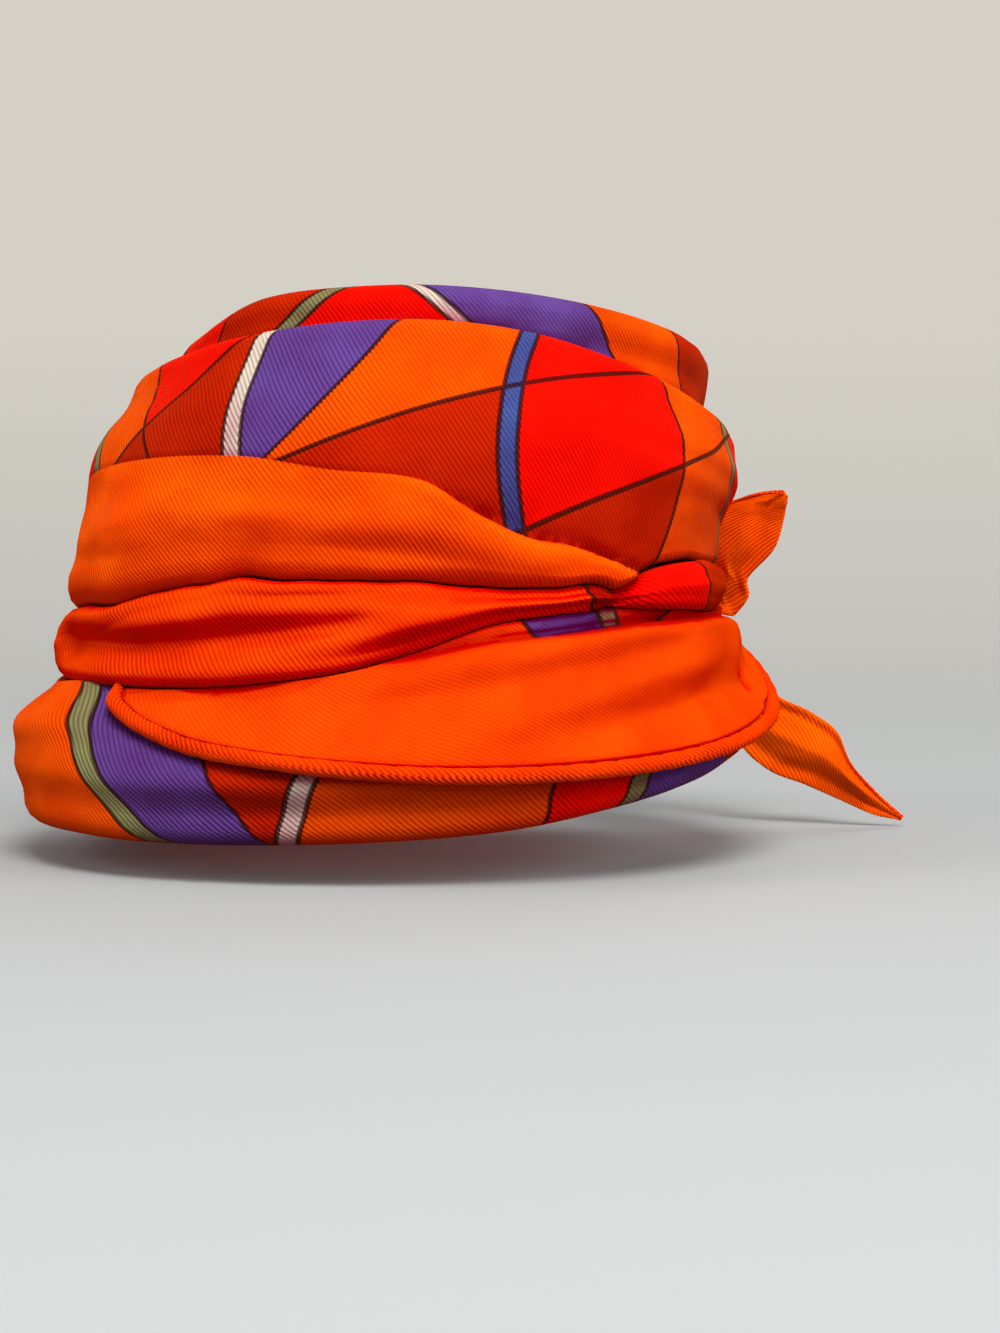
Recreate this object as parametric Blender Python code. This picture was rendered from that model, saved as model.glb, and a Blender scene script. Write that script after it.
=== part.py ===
"""Silk square scarf, folded on the bias into a band, wound twice round a neck and knotted at the side.

Every length of cloth is a thin wall. Its outer face follows a short table of sections round the neck:
each row gives a height and four radii, and the surface runs smoothly from one row to the next.
Azimuth 0 is the nape, which faces -Y, and +90 degrees is +X, the side of the knot. Tables are in
millimetres and degrees. The origin is the middle of the neck hollow.
"""

import bisect
import math
from collections import namedtuple

import bmesh
import bpy
from mathutils import Vector

MM = 0.001
WALL = 1.2  # the folded band: layers of silk pressed together
GAP = 0.4  # between cloth that lies on cloth
FOLD_RADIUS = 2.2  # rounded edge of a fold, to its outer face
FOLD_SHARE = 0.48  # a fold takes at most this share of a narrow length's height
LIP = 6.0  # how far the inner leaf of a fold runs back inside
LIP_SHARE = 0.4  # and at most this share of the open height
SHELF = 2.0  # how far a length without a top fold runs in under the one above
LEAN_X = 0.10  # the neck leans towards the knot side as it rises
LEAN_Y = 0.12  # and forwards, away from the nape
RING_STEP = 9.0  # degrees between sections of a whole turn
FREE_STEP = 7.0  # degrees between sections of a length that has two ends
FACE_ROWS = 5  # faces down the open height of a wall
FOLD_FACES = 3  # faces round a folded edge
HEM_RADIUS = 1.35
HEM_PROUD = 0.6  # the hem stands this far out from the flap's wall
NEAR = 2.0  # degrees that count as beside a place
NEAR_EDGE = 0.9  # share of the flap's height that gives its slope at the edge

Section = namedtuple("Section", "azimuth top foot r_top r_upper r_lower r_foot")
TailSection = namedtuple("TailSection", "upper lower bulge")

INNER_TURN = [
    Section(-180, 27.0, -33, 46.0, 46.5, 46.5, 46.5),
    Section(-135, 31.0, -33, 45.8, 46.0, 46.5, 46.5),
    Section(-84, 39.2, -33, 45.6, 45.6, 46.5, 46.5),
    Section(-64, 41.8, -33, 46.0, 46.6, 46.5, 46.5),
    Section(-42, 46.4, -33, 46.6, 47.9, 46.5, 46.5),
    Section(-22, 47.7, -33, 46.8, 48.1, 47.0, 46.5),
    Section(0, 47.8, -33, 46.8, 48.1, 47.0, 46.5),
    Section(27, 45.8, -33, 46.8, 48.0, 46.5, 46.5),
    Section(57, 42.0, -30, 47.0, 47.0, 46.0, 46.0),
    Section(83, 38.0, -27, 47.0, 45.8, 45.0, 45.5),
    Section(110, 33.0, -24, 46.8, 45.6, 45.0, 45.5),
    Section(140, 28.5, -26, 46.4, 45.8, 45.5, 46.0),
]

OUTER_TURN = [  # its foot rests on the folds below
    Section(-180, 16.0, None, 52.5, 55.5, 56.5, 56.4),
    Section(-135, 21.5, None, 52.0, 56.5, 58.5, 58.4),
    Section(-108, 28.5, None, 52.0, 58.0, 59.5, 60.0),
    Section(-82, 33.6, None, 53.0, 58.8, 59.6, 61.2),
    Section(-65, 35.8, None, 53.4, 58.2, 59.2, 60.0),
    Section(-40, 39.6, None, 53.0, 57.0, 58.6, 58.4),
    Section(-18, 41.6, None, 53.0, 56.8, 58.3, 57.4),
    Section(0, 41.8, None, 53.0, 56.8, 58.0, 57.0),
    Section(19, 39.6, None, 53.0, 57.0, 57.2, 56.0),
    Section(39, 34.8, None, 53.2, 57.0, 56.2, 54.4),
    Section(58, 29.7, None, 53.2, 56.2, 54.4, 52.4),
    Section(79, 24.0, None, 53.2, 54.4, 51.8, 50.6),
    Section(100, 18.0, None, 52.0, 52.8, 51.4, 50.6),
    Section(120, 11.0, None, 51.4, 51.8, 51.6, 51.0),
    Section(140, 10.0, None, 51.4, 52.0, 52.0, 51.4),
]

BORDER_PLEAT = [
    Section(-236, -1.6, -7.4, 51.8, 52.6, 52.6, 51.8),
    Section(-218, -3.6, -11.6, 53.0, 54.8, 54.8, 53.2),
    Section(-180, -5.6, -19.0, 56.5, 60.0, 60.5, 57.5),
    Section(-135, -6.2, -18.6, 57.5, 61.5, 61.5, 58.0),
    Section(-105, -6.4, -18.0, 58.0, 62.2, 62.0, 58.4),
    Section(-82, -5.7, -17.7, 58.4, 62.2, 61.6, 58.6),
    Section(-62, -3.4, -17.6, 57.8, 61.6, 61.6, 58.2),
    Section(-42, -1.2, -17.4, 57.2, 60.8, 61.0, 57.6),
    Section(-25, 0.0, -16.1, 56.8, 60.2, 60.4, 57.4),
    Section(-10, 0.3, -13.8, 56.5, 59.5, 60.0, 57.2),
    Section(3, 0.1, -10.3, 56.4, 58.8, 59.2, 57.0),
    Section(14, -0.6, -6.6, 56.4, 57.8, 57.8, 56.4),
    Section(24, -0.8, -5.3, 56.6, 57.4, 57.4, 56.4),
    Section(33, -0.2, -4.6, 57.4, 57.8, 57.6, 57.0),
]

SIDE_FOLD = [
    Section(34, 0.4, -4.2, 57.2, 58.0, 57.8, 57.0),
    Section(41, 1.9, -4.5, 57.8, 59.4, 59.0, 57.6),
    Section(50, 2.6, -4.7, 57.8, 59.8, 59.2, 57.4),
    Section(60, 2.4, -4.8, 56.6, 58.4, 57.8, 56.4),
    Section(72, 1.6, -4.8, 54.6, 55.8, 55.4, 54.6),
    Section(86, 1.2, -4.8, 53.0, 53.4, 53.4, 53.0),
    Section(102, 0.6, -5.0, 52.6, 53.0, 53.0, 52.6),
    Section(122.5, -1.3, -6.9, 52.0, 52.6, 52.6, 52.0),
]

BORDER_FLAP = [  # its top comes out from under the folds above
    Section(-38, None, -19.9, 57.4, 58.4, 59.6, 60.8),
    Section(-30, None, -23.0, 57.0, 59.2, 61.4, 63.0),
    Section(-20, None, -25.5, 56.6, 59.0, 61.6, 64.0),
    Section(-10, None, -26.9, 56.4, 58.8, 61.6, 64.5),
    Section(3, None, -27.9, 56.2, 58.6, 61.4, 64.7),
    Section(14, None, -28.2, 56.0, 58.4, 61.2, 64.7),
    Section(26, None, -28.0, 56.0, 58.4, 61.0, 64.7),
    Section(40, None, -27.2, 56.8, 58.4, 60.8, 64.6),
    Section(52, None, -26.0, 57.0, 58.2, 60.4, 64.4),
    Section(63, None, -24.4, 56.2, 57.6, 59.2, 64.0),
    Section(74, None, -22.2, 54.8, 56.6, 57.8, 63.4),
    Section(83, None, -19.6, 54.0, 56.0, 57.0, 62.0),
    Section(91, None, -16.0, 53.8, 55.4, 56.4, 59.8),
    Section(99, None, -12.8, 53.8, 55.0, 56.0, 57.8),
    Section(109, None, -10.2, 53.4, 54.4, 55.2, 56.0),
    Section(119, None, -9.0, 53.0, 53.6, 54.2, 54.8),
]

BASE_TURN = [
    Section(-180, -19.6, -38.0, 56.0, 60.5, 61.5, 59.5),
    Section(-150, -19.3, -40.5, 57.0, 62.5, 63.5, 61.5),
    Section(-115, -18.8, -41.3, 59.5, 66.0, 65.8, 63.4),
    Section(-82, -18.2, -41.2, 60.6, 67.3, 66.7, 64.2),
    Section(-62, -18.1, -41.2, 59.6, 66.3, 66.2, 64.0),
    Section(-42, -19.0, -41.4, 55.0, 61.6, 65.0, 63.0),
    Section(-20, -19.0, -41.0, 54.0, 60.4, 63.8, 61.2),
    Section(0, -19.0, -40.2, 54.0, 60.0, 63.2, 60.6),
    Section(20, -18.5, -38.8, 54.0, 59.6, 63.0, 60.4),
    Section(37, -17.5, -36.4, 54.0, 58.6, 62.6, 60.2),
    Section(55, -16.0, -33.8, 53.6, 57.2, 61.8, 60.0),
    Section(75, -14.0, -31.0, 52.6, 56.0, 61.0, 60.0),
    Section(95, -11.5, -28.6, 52.0, 55.6, 60.8, 60.4),
    Section(120, -9.6, -26.8, 52.6, 57.0, 60.6, 60.4),
    Section(145, -12.6, -29.6, 54.0, 59.0, 60.8, 60.0),
]

TAIL_UPPER_ROOT = ((0.30, 0.35, 0.90), (0.92, 0.30, -0.05))  # where its edges leave the knot
TAIL_UPPER = [
    TailSection((53.4, 39.0, 4.6), (58.2, 34.4, -4.0), 1.0),
    TailSection((54.4, 36.6, 7.2), (63.0, 31.0, 1.2), 2.2),
    TailSection((55.2, 34.2, 9.6), (64.6, 28.8, 6.8), 2.4),
    TailSection((58.2, 31.6, 11.8), (65.4, 27.8, 11.0), 1.4),
    TailSection((63.8, 28.8, 14.4), (65.8, 27.8, 13.2), 0.2),
]

TAIL_LOWER_ROOT = ((0.85, 0.35, -0.45), (0.15, 0.40, -0.92))
TAIL_LOWER = [
    TailSection((58.6, 37.4, -13.0), (53.6, 42.4, -19.4), 1.4),
    TailSection((64.2, 35.2, -21.2), (59.4, 39.0, -28.8), 2.2),
    TailSection((69.6, 33.2, -26.2), (64.4, 36.2, -35.0), 2.6),
    TailSection((75.2, 32.4, -29.4), (70.4, 34.8, -38.8), 2.4),
    TailSection((78.2, 32.2, -35.2), (77.0, 33.8, -42.2), 1.6),
    TailSection((87.8, 32.4, -45.0), (86.6, 33.4, -46.8), 0.2),
]
TAIL_WALL = 1.1
TAIL_ROWS = 5  # faces across a tail
TAIL_STEPS = 3  # faces between two sections of a tail

KNOT_AZIMUTH = 138.0
KNOT_RADIUS = 61.8  # from the neck's axis to the middle of the knot
KNOT_HEIGHT = -2.8
KNOT_HALF = (11.6, 8.4, 12.2)  # along the band, out from the neck, and up
KNOT_FULLNESS = 0.85  # 1 is an ellipsoid, less is squarer
KNOT_GROOVES = 3  # turns of cloth that show on it
KNOT_GROOVE_DEPTH = 0.09
KNOT_SLANT = 0.5  # how much those turns lean
KNOT_SEGMENTS = 20
KNOT_RINGS = 14


def clear_scene():
    for thing in list(bpy.data.objects):
        bpy.data.objects.remove(thing)


def silk(name, colour, roughness):
    material = bpy.data.materials.new(name)
    material.use_nodes = True
    shader = material.node_tree.nodes["Principled BSDF"]
    shader.inputs["Base Color"].default_value = (*colour, 1.0)
    shader.inputs["Roughness"].default_value = roughness
    shader.inputs["Metallic"].default_value = 0.0
    return material


def place(azimuth, radius, height):
    """The point at this azimuth, this far from the leaning axis of the neck, in metres."""
    angle = math.radians(azimuth)
    x = LEAN_X * height + radius * math.sin(angle)
    y = LEAN_Y * height - radius * math.cos(angle)
    return Vector((x, y, height)) * MM


def bracket(table, azimuth, closed):
    """Four rows round this azimuth, as (azimuth, row) pairs: two before it and two after."""
    rows = [(row.azimuth, row) for row in table]
    if closed:
        before = [(place - 360, row) for place, row in rows]
        after = [(place + 360, row) for place, row in rows]
        rows = before + rows + after
    else:
        rows = [rows[0], *rows, rows[-1]]
    last = len(rows) - 3
    first = bisect.bisect_right([place for place, _ in rows], azimuth) - 1
    first = min(max(first, 1), last)
    return rows[first - 1 : first + 3]


def smooth_between(places, values, at):
    """Cubic through the middle two of four values, with the slopes that the outer two give."""
    span = places[2] - places[1]
    start_slope = (values[2] - values[0]) / (places[2] - places[0])
    end_slope = (values[3] - values[1]) / (places[3] - places[1])
    t = (at - places[1]) / span
    keep = 2 * t**3 - 3 * t**2 + 1
    rise = (t**3 - 2 * t**2 + t) * span * start_slope
    fall = (t**3 - t**2) * span * end_slope
    return keep * values[1] + (1 - keep) * values[2] + rise + fall


def section_at(table, azimuth, closed):
    pairs = bracket(table, azimuth, closed)
    places = [place for place, _ in pairs]
    section = []
    for values in zip(*(row for _, row in pairs)):
        section.append(None if None in values else smooth_between(places, values, azimuth))
    return Section(*section)


def fold_heights(azimuth):
    """Top and foot of the folds that run along the middle of the band at this azimuth."""
    heights = []
    for table in (BORDER_PLEAT, SIDE_FOLD):
        for turned in (azimuth, azimuth - 360):
            held = min(max(turned, table[0].azimuth), table[-1].azimuth)
            if abs(turned - held) < NEAR:
                section = section_at(table, held, False)
                heights.append((section.top, section.foot))
    return max(top for top, _ in heights), min(foot for _, foot in heights)


def fitted_section(table, azimuth, closed):
    """The section here, with a top or foot that the table leaves open set against the folds."""
    section = section_at(table, azimuth, closed)
    top, foot = fold_heights(azimuth)
    if section.foot is None:
        section = section._replace(foot=top + GAP)
    if section.top is None:
        section = section._replace(top=foot - GAP)
    return section


def face_radius(section, share):
    """Radius of the open face at this share of its height, from 0 at the top to 1 at the foot."""
    radii = (section.r_top, section.r_upper, section.r_lower, section.r_foot)
    at = share * 3
    first = min(int(at), 2)
    ends = (max(first - 1, 0), first, first + 1, min(first + 2, 3))
    places = (first - 1, first, first + 1, first + 2)
    return smooth_between(places, [radii[i] for i in ends], at)


def fold_arc(radius, height, size, start, turn):
    """Points round a folded edge, in the plane of the section, without its two ends."""
    points = []
    for step in range(1, FOLD_FACES):
        angle = math.radians(start + turn * step / FOLD_FACES)
        points.append((radius + size * math.cos(angle), height + size * math.sin(angle)))
    return points


def wall_section(section, top_fold, foot_fold):
    """The outer face from inside the top fold, over it, down and round under the foot fold."""
    size = min(FOLD_RADIUS, (section.top - section.foot) * FOLD_SHARE)
    high = section.top - (size if top_fold else 0)
    low = section.foot + (size if foot_fold else 0)
    lip = min(LIP, (high - low) * LIP_SHARE)
    points = []
    if top_fold:
        points.append((section.r_top - 2 * size, high - lip))
        points.append((section.r_top - 2 * size, high))
        points += fold_arc(section.r_top - size, high, size, 180, -180)
    for step in range(FACE_ROWS + 1):
        share = step / FACE_ROWS
        points.append((face_radius(section, share), high + (low - high) * share))
    if not top_fold:
        points.insert(0, (section.r_top - SHELF, high))
    if foot_fold:
        points += fold_arc(section.r_foot - size, low, size, 0, -180)
        points.append((section.r_foot - 2 * size, low))
        points.append((section.r_foot - 2 * size, low + lip))
    return points


def azimuths(table, closed):
    first = table[0].azimuth
    span = 360 if closed else table[-1].azimuth - first
    steps = round(span / (RING_STEP if closed else FREE_STEP))
    count = steps if closed else steps + 1
    return [first + span * step / steps for step in range(count)]


def sheet_mesh(name, rows, closed):
    """Joins rows of points into a sheet whose faces point out when the rows run round the neck."""
    mesh = bmesh.new()
    grid = [[mesh.verts.new(point) for point in row] for row in rows]
    pairs = list(zip(grid, grid[1:]))
    if closed:
        pairs.append((grid[-1], grid[0]))
    for here, there in pairs:
        for i in range(len(here) - 1):
            mesh.faces.new((here[i], here[i + 1], there[i + 1], there[i]))
    data = bpy.data.meshes.new(name)
    mesh.to_mesh(data)
    mesh.free()
    return data


def cloth_object(name, data, wall, material):
    """An outer face with its thickness laid on inside it."""
    piece = bpy.data.objects.new(name, data)
    bpy.context.scene.collection.objects.link(piece)
    data.materials.append(material)
    data.shade_smooth()
    thickness = piece.modifiers.new("cloth thickness", "SOLIDIFY")
    thickness.thickness = wall * MM
    thickness.offset = -1
    return piece


def band(name, table, material, closed=True, top_fold=True, foot_fold=True):
    """A length of the band round the neck, as a thin wall."""
    rows = []
    for azimuth in azimuths(table, closed):
        section = fitted_section(table, azimuth, closed)
        points = wall_section(section, top_fold, foot_fold)
        rows.append([place(azimuth, radius, height) for radius, height in points])
    return cloth_object(name, sheet_mesh(name, rows, closed), WALL, material)


def flap_point(azimuth, share):
    """A point of the flap's outer face, at this share of its height."""
    azimuth = min(max(azimuth, BORDER_FLAP[0].azimuth), BORDER_FLAP[-1].azimuth)
    section = fitted_section(BORDER_FLAP, azimuth, False)
    height = section.top + (section.foot - section.top) * share
    return place(azimuth, face_radius(section, share), height)


def hem_centre(azimuth):
    """Just beyond the flap's edge, in the line that the cloth takes there."""
    along = (flap_point(azimuth + NEAR, 1) - flap_point(azimuth - NEAR, 1)).normalized()
    down = flap_point(azimuth, 1) - flap_point(azimuth, NEAR_EDGE)
    beyond = (down - along * down.dot(along)).normalized()
    inward = along.cross(beyond)
    reach = HEM_RADIUS + GAP
    return flap_point(azimuth, 1) + (beyond * reach + inward * (WALL / 2 - HEM_PROUD)) * MM


def hem_start():
    """The stretch of hem that comes out from under the pleat, before the flap has any height."""
    return [place(-50, 60.6, -18.6), place(-46, 60.8, -19.4), place(-42, 60.9, -20.5)]


def rolled_hem(name, material):
    path = hem_start() + [hem_centre(azimuth) for azimuth in azimuths(BORDER_FLAP, False)]
    curve = bpy.data.curves.new(name, "CURVE")
    curve.dimensions = "3D"
    curve.bevel_depth = HEM_RADIUS * MM
    curve.bevel_resolution = 1
    curve.use_fill_caps = True
    line = curve.splines.new("POLY")
    line.points.add(len(path) - 1)
    for point, spot in zip(line.points, path):
        point.co = (*spot, 1.0)
    hem = bpy.data.objects.new(name, curve)
    bpy.context.scene.collection.objects.link(hem)
    curve.materials.append(material)
    return hem


def tail(name, root, table, material):
    """A pointed end of the band, from where it leaves the knot to its tip, bulged to the nape side."""
    rows = [root_row(*root)]
    last = len(table) - 1
    for first in range(last):
        ends = (max(first - 1, 0), first, first + 1, min(first + 2, last))
        places = (first - 1, first, first + 1, first + 2)
        steps = TAIL_STEPS + (1 if first + 1 == last else 0)
        for step in range(steps):
            at = first + step / TAIL_STEPS
            upper = smooth_point([table[i].upper for i in ends], places, at)
            lower = smooth_point([table[i].lower for i in ends], places, at)
            bulge = smooth_between(places, [table[i].bulge for i in ends], at)
            rows.append(tail_row(upper, lower, bulge))
    return cloth_object(name, sheet_mesh(name, rows, False), TAIL_WALL, material)


def smooth_point(points, places, at):
    return Vector(smooth_between(places, values, at) for values in zip(*points))


def tail_row(upper, lower, bulge):
    row = []
    for step in range(TAIL_ROWS + 1):
        share = step / TAIL_ROWS
        point = upper.lerp(lower, share)
        point.y -= bulge * math.sin(math.pi * share)
        row.append(point * MM)
    return row


def root_row(upper, lower):
    """The end of a tail that lies against the knot."""
    row = []
    for step in range(TAIL_ROWS + 1):
        way = Vector(upper).lerp(Vector(lower), step / TAIL_ROWS).normalized()
        surface = knot_point(way)
        outward = (surface - knot_middle()).normalized()
        row.append(surface + outward * GAP * MM)
    return row


def knot_middle():
    return place(KNOT_AZIMUTH, KNOT_RADIUS, KNOT_HEIGHT)


def knot_point(way):
    """A point of the knot, from a unit vector: along the band to the nape, out from the neck, up."""
    turn = math.radians(KNOT_AZIMUTH)
    along = Vector((-math.cos(turn), -math.sin(turn), 0)) * KNOT_HALF[0]
    outward = Vector((math.sin(turn), -math.cos(turn), 0)) * KNOT_HALF[1]
    upward = Vector((0, 0, 1)) * KNOT_HALF[2]
    slant = way.x + KNOT_SLANT * way.z
    groove = math.cos(KNOT_GROOVES * math.pi * slant) * (1 - way.z**2)
    shrink = 1 - KNOT_GROOVE_DEPTH * (1 + groove) / 2
    full = [math.copysign(abs(part) ** KNOT_FULLNESS, part) * shrink for part in way]
    return knot_middle() + (along * full[0] + outward * full[1] + upward * full[2]) * MM


def knot(name, material):
    """A tight lump with the turns of cloth pressed into it as shallow grooves."""
    mesh = bmesh.new()
    bmesh.ops.create_uvsphere(mesh, u_segments=KNOT_SEGMENTS, v_segments=KNOT_RINGS, radius=1)
    for vertex in mesh.verts:
        vertex.co = knot_point(vertex.co)
    data = bpy.data.meshes.new(name)
    mesh.to_mesh(data)
    mesh.free()
    data.materials.append(material)
    data.shade_smooth()
    piece = bpy.data.objects.new(name, data)
    bpy.context.scene.collection.objects.link(piece)
    return piece


def main():
    clear_scene()
    border = silk("plain_border_silk", (0.93, 0.10, 0.004), 0.5)
    printed = silk("printed_silk", (0.60, 0.02, 0.004), 0.5)
    band("inner_turn", INNER_TURN, printed, foot_fold=False)
    band("outer_turn", OUTER_TURN, printed)
    band("border_pleat", BORDER_PLEAT, border, closed=False)
    band("side_fold", SIDE_FOLD, printed, closed=False)
    band("border_flap", BORDER_FLAP, border, closed=False, top_fold=False, foot_fold=False)
    rolled_hem("rolled_hem", border)
    band("base_turn", BASE_TURN, printed, top_fold=False)
    knot("knot", border)
    tail("tail_upper", TAIL_UPPER_ROOT, TAIL_UPPER, border)
    tail("tail_lower", TAIL_LOWER_ROOT, TAIL_LOWER, border)


main()
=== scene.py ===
"""Looks of the silk square scarf, folded on the bias into a band, wound twice round a neck and knotted.

Each length of cloth is a grid, shaped along the same table of sections as the solid it stands for, with
its folds, creases and gathers modelled, and then given its thickness. Tables are in millimetres and
degrees. Azimuth 0 is the nape, which faces -Y, and +90 degrees is +X, the side of the knot.
"""

import bisect
import math
from collections import namedtuple

import bpy
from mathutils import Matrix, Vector, noise
from mathutils.bvhtree import BVHTree


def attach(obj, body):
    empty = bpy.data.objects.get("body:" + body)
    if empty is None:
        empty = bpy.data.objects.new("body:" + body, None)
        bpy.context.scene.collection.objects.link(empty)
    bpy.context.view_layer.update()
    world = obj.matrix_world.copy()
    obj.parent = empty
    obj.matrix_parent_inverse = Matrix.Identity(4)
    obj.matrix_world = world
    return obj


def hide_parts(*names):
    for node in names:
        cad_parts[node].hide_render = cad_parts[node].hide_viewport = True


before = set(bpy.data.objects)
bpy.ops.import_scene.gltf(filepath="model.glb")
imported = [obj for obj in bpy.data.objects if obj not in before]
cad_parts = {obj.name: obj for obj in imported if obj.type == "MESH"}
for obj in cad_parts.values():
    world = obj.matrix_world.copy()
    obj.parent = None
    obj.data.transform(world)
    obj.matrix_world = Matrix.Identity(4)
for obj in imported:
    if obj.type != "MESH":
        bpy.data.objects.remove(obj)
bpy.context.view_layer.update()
bpy.ops.object.select_all(action="DESELECT")

MM = 0.001
MERGE = 1e-6

# Sizes of the cloth and its folds.
WALL = 1.2
GAP = 0.12  # cloth lies pressed on cloth
CLOTH_RADIUS = 57.0  # turns an azimuth into millimetres along the cloth
LIP = 6.0  # how far the inner leaf of a fold runs back inside
LIP_SHARE = 0.4  # and at most this share of the open face
LIP_ROWS = 2
FOLD_SHARE = 0.48  # a folded edge takes at most this share of the height
FOLD_DEEP = 3.6  # a tall fold is no deeper than this towards the neck
FOLD_ROWS = 8
SHELF = 2.0  # how far a length without a top fold runs in under the one above
CREASE_FADE = 12.0  # degrees in which a crease fades out at either end
GATHER_WANDER = 0.6  # of a pleat's width
PLEAT_LEVEL = 0.6  # height of a pleat that is level with smooth cloth, as a share

# For each millimetre up, the neck's axis leans this far.
LEAN_X = 0.10  # towards the knot side
LEAN_Y = 0.12  # and forwards, away from the nape

# A turned edge, with the cloth above and below it.
EDGE_STEPS = (0.12, 0.4, 0.8, 1.4, 2.4)  # rows just below the edge
EDGE_ROOM = 20.0  # height of cloth that has room for those rows at full size
EDGE_ROUND = 1.5
EDGE_SPREAD = 15.0  # the cloth lies down again this far below the edge
EDGE_HIGHEST = 0.06  # the edge stays between these shares of the open face
EDGE_LOWEST = 0.88
TUCK = 0.25  # share of its height by which the edge presses in the cloth above it
TUCK_REACH = 1.1

# The rolled hem.
HEM_RADIUS = 1.35
HEM_PROUD = 0.6
HEM_STEPS = 170
HEM_SIDES = 20
HEM_SMOOTHING = 3
HEM_CLOSING = 4  # steps in which its ends close
STITCH_PITCH = 4.6
STITCH_PINCH = 0.09
NEAR = 2.0  # degrees to the neighbours that give a direction
NEAR_EDGE = 0.9  # share of the flap's height from which its edge's direction is taken

# Marks on the cloth that the materials read.
CLOTH_MAP = "cloth"
BORDER = "border"  # millimetres below the edge where the plain border starts
PAINTED_SHADE = "painted_shade"  # how shut in by cloth a point is and how far it faces down, from 0 to 1; the materials turn it into painted shade
HOLLOW_REACH = 16.0
HOLLOW_START = 0.15
UNDERSIDE = 0.7  # light comes from above, so a look downwards counts for this much
LOOK_RINGS = ((0.0, 1), (34.0, 5), (64.0, 6))  # lean from the surface's normal, and looks at that lean

Section = namedtuple("Section", "azimuth top foot r_top r_upper r_lower r_foot")
Spot = namedtuple("Spot", "azimuth height")
Place = namedtuple("Place", "azimuth radius height")
TurnedEdge = namedtuple("TurnedEdge", "azimuth height proud")
Crease = namedtuple("Crease", "depth width spots")
Dent = namedtuple("Dent", "azimuth height wide tall depth")
Gather = namedtuple("Gather", "reach ridges depth")
FoldSize = namedtuple("FoldSize", "azimuth top foot")
TailSection = namedtuple("TailSection", "upper lower bulge")
Panel = namedtuple("Panel", "start lean bow colour")
Wave = namedtuple("Wave", "depth size stretch seed")
Swell = namedtuple("Swell", "azimuth wide height")
Ridge = namedtuple("Ridge", "height middle width")
Finish = namedtuple("Finish", "gloss depth groove")
Lamp = namedtuple("Lamp", "name location size power colour")


def rows_of(kind, *rows):
    """A table: rows that all have the columns of this kind."""
    return [kind(*row) for row in rows]


def crease(depth, width, *spots):
    """A crease this deep and wide, along these spots."""
    return Crease(depth, width, rows_of(Spot, *spots))


CLOTH_WAVES = rows_of(  # unevenness of the open cloth
    Wave,
    (0.45, 24, 1.6, 0),
    (0.16, 9, 2.2, 5),
    (0.05, 3.5, 1.5, 9),
)
TOP_WAVES = rows_of(Wave, (0.55, 15, 1, 3.1), (0.25, 6, 1, 7.7))  # of the top edge of a soft fold
FOOT_WAVES = rows_of(Wave, (0.45, 17, 1, 12.3))
FOLD_SWELLS = rows_of(Swell, (-58, 22, -1.3), (-29, 9, 0.8))  # where the folds' top edge sinks and rises

INNER_TURN = rows_of(
    Section,
    (-180, 27, -33, 46, 46.5, 46.5, 46.5),
    (-135, 31, -33, 45.8, 46, 46.5, 46.5),
    (-84, 39.2, -33, 45.6, 45.6, 46.5, 46.5),
    (-64, 41.8, -33, 46, 46.6, 46.5, 46.5),
    (-42, 46.4, -33, 46.6, 47.9, 46.5, 46.5),
    (-22, 47.7, -33, 46.8, 48.1, 47, 46.5),
    (0, 47.8, -33, 46.8, 48.1, 47, 46.5),
    (27, 45.8, -33, 46.8, 48, 46.5, 46.5),
    (57, 42, -30, 47, 47, 46, 46),
    (83, 38, -27, 47, 45.8, 45, 45.5),
    (110, 33, -24, 46.8, 45.6, 45, 45.5),
    (140, 28.5, -26, 46.4, 45.8, 45.5, 46),
)

OUTER_TURN = rows_of(  # its foot rests on the folds below
    Section,
    (-180, 16, None, 52.5, 55.5, 56.5, 56.4),
    (-135, 21.5, None, 52, 56.5, 58.5, 58.4),
    (-108, 28.5, None, 52, 58, 59.5, 60),
    (-82, 33.6, None, 53, 58.8, 59.6, 61.2),
    (-65, 35.8, None, 53.4, 58.2, 59.2, 60),
    (-40, 39.6, None, 53, 57, 58.6, 58.4),
    (-18, 41.6, None, 53, 56.8, 58.3, 57.4),
    (0, 41.8, None, 53, 56.8, 58, 57),
    (19, 39.6, None, 53, 57, 57.2, 56),
    (39, 34.8, None, 53.2, 57, 56.8, 56.4),
    (58, 29.7, None, 53.2, 56.2, 55.4, 54.9),
    (79, 24, None, 53.2, 54.4, 52.6, 52),
    (100, 18, None, 52, 52.8, 51.4, 50.6),
    (120, 11, None, 51.4, 51.8, 51.6, 51),
    (140, 10, None, 51.4, 52, 52, 51.4),
)

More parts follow.
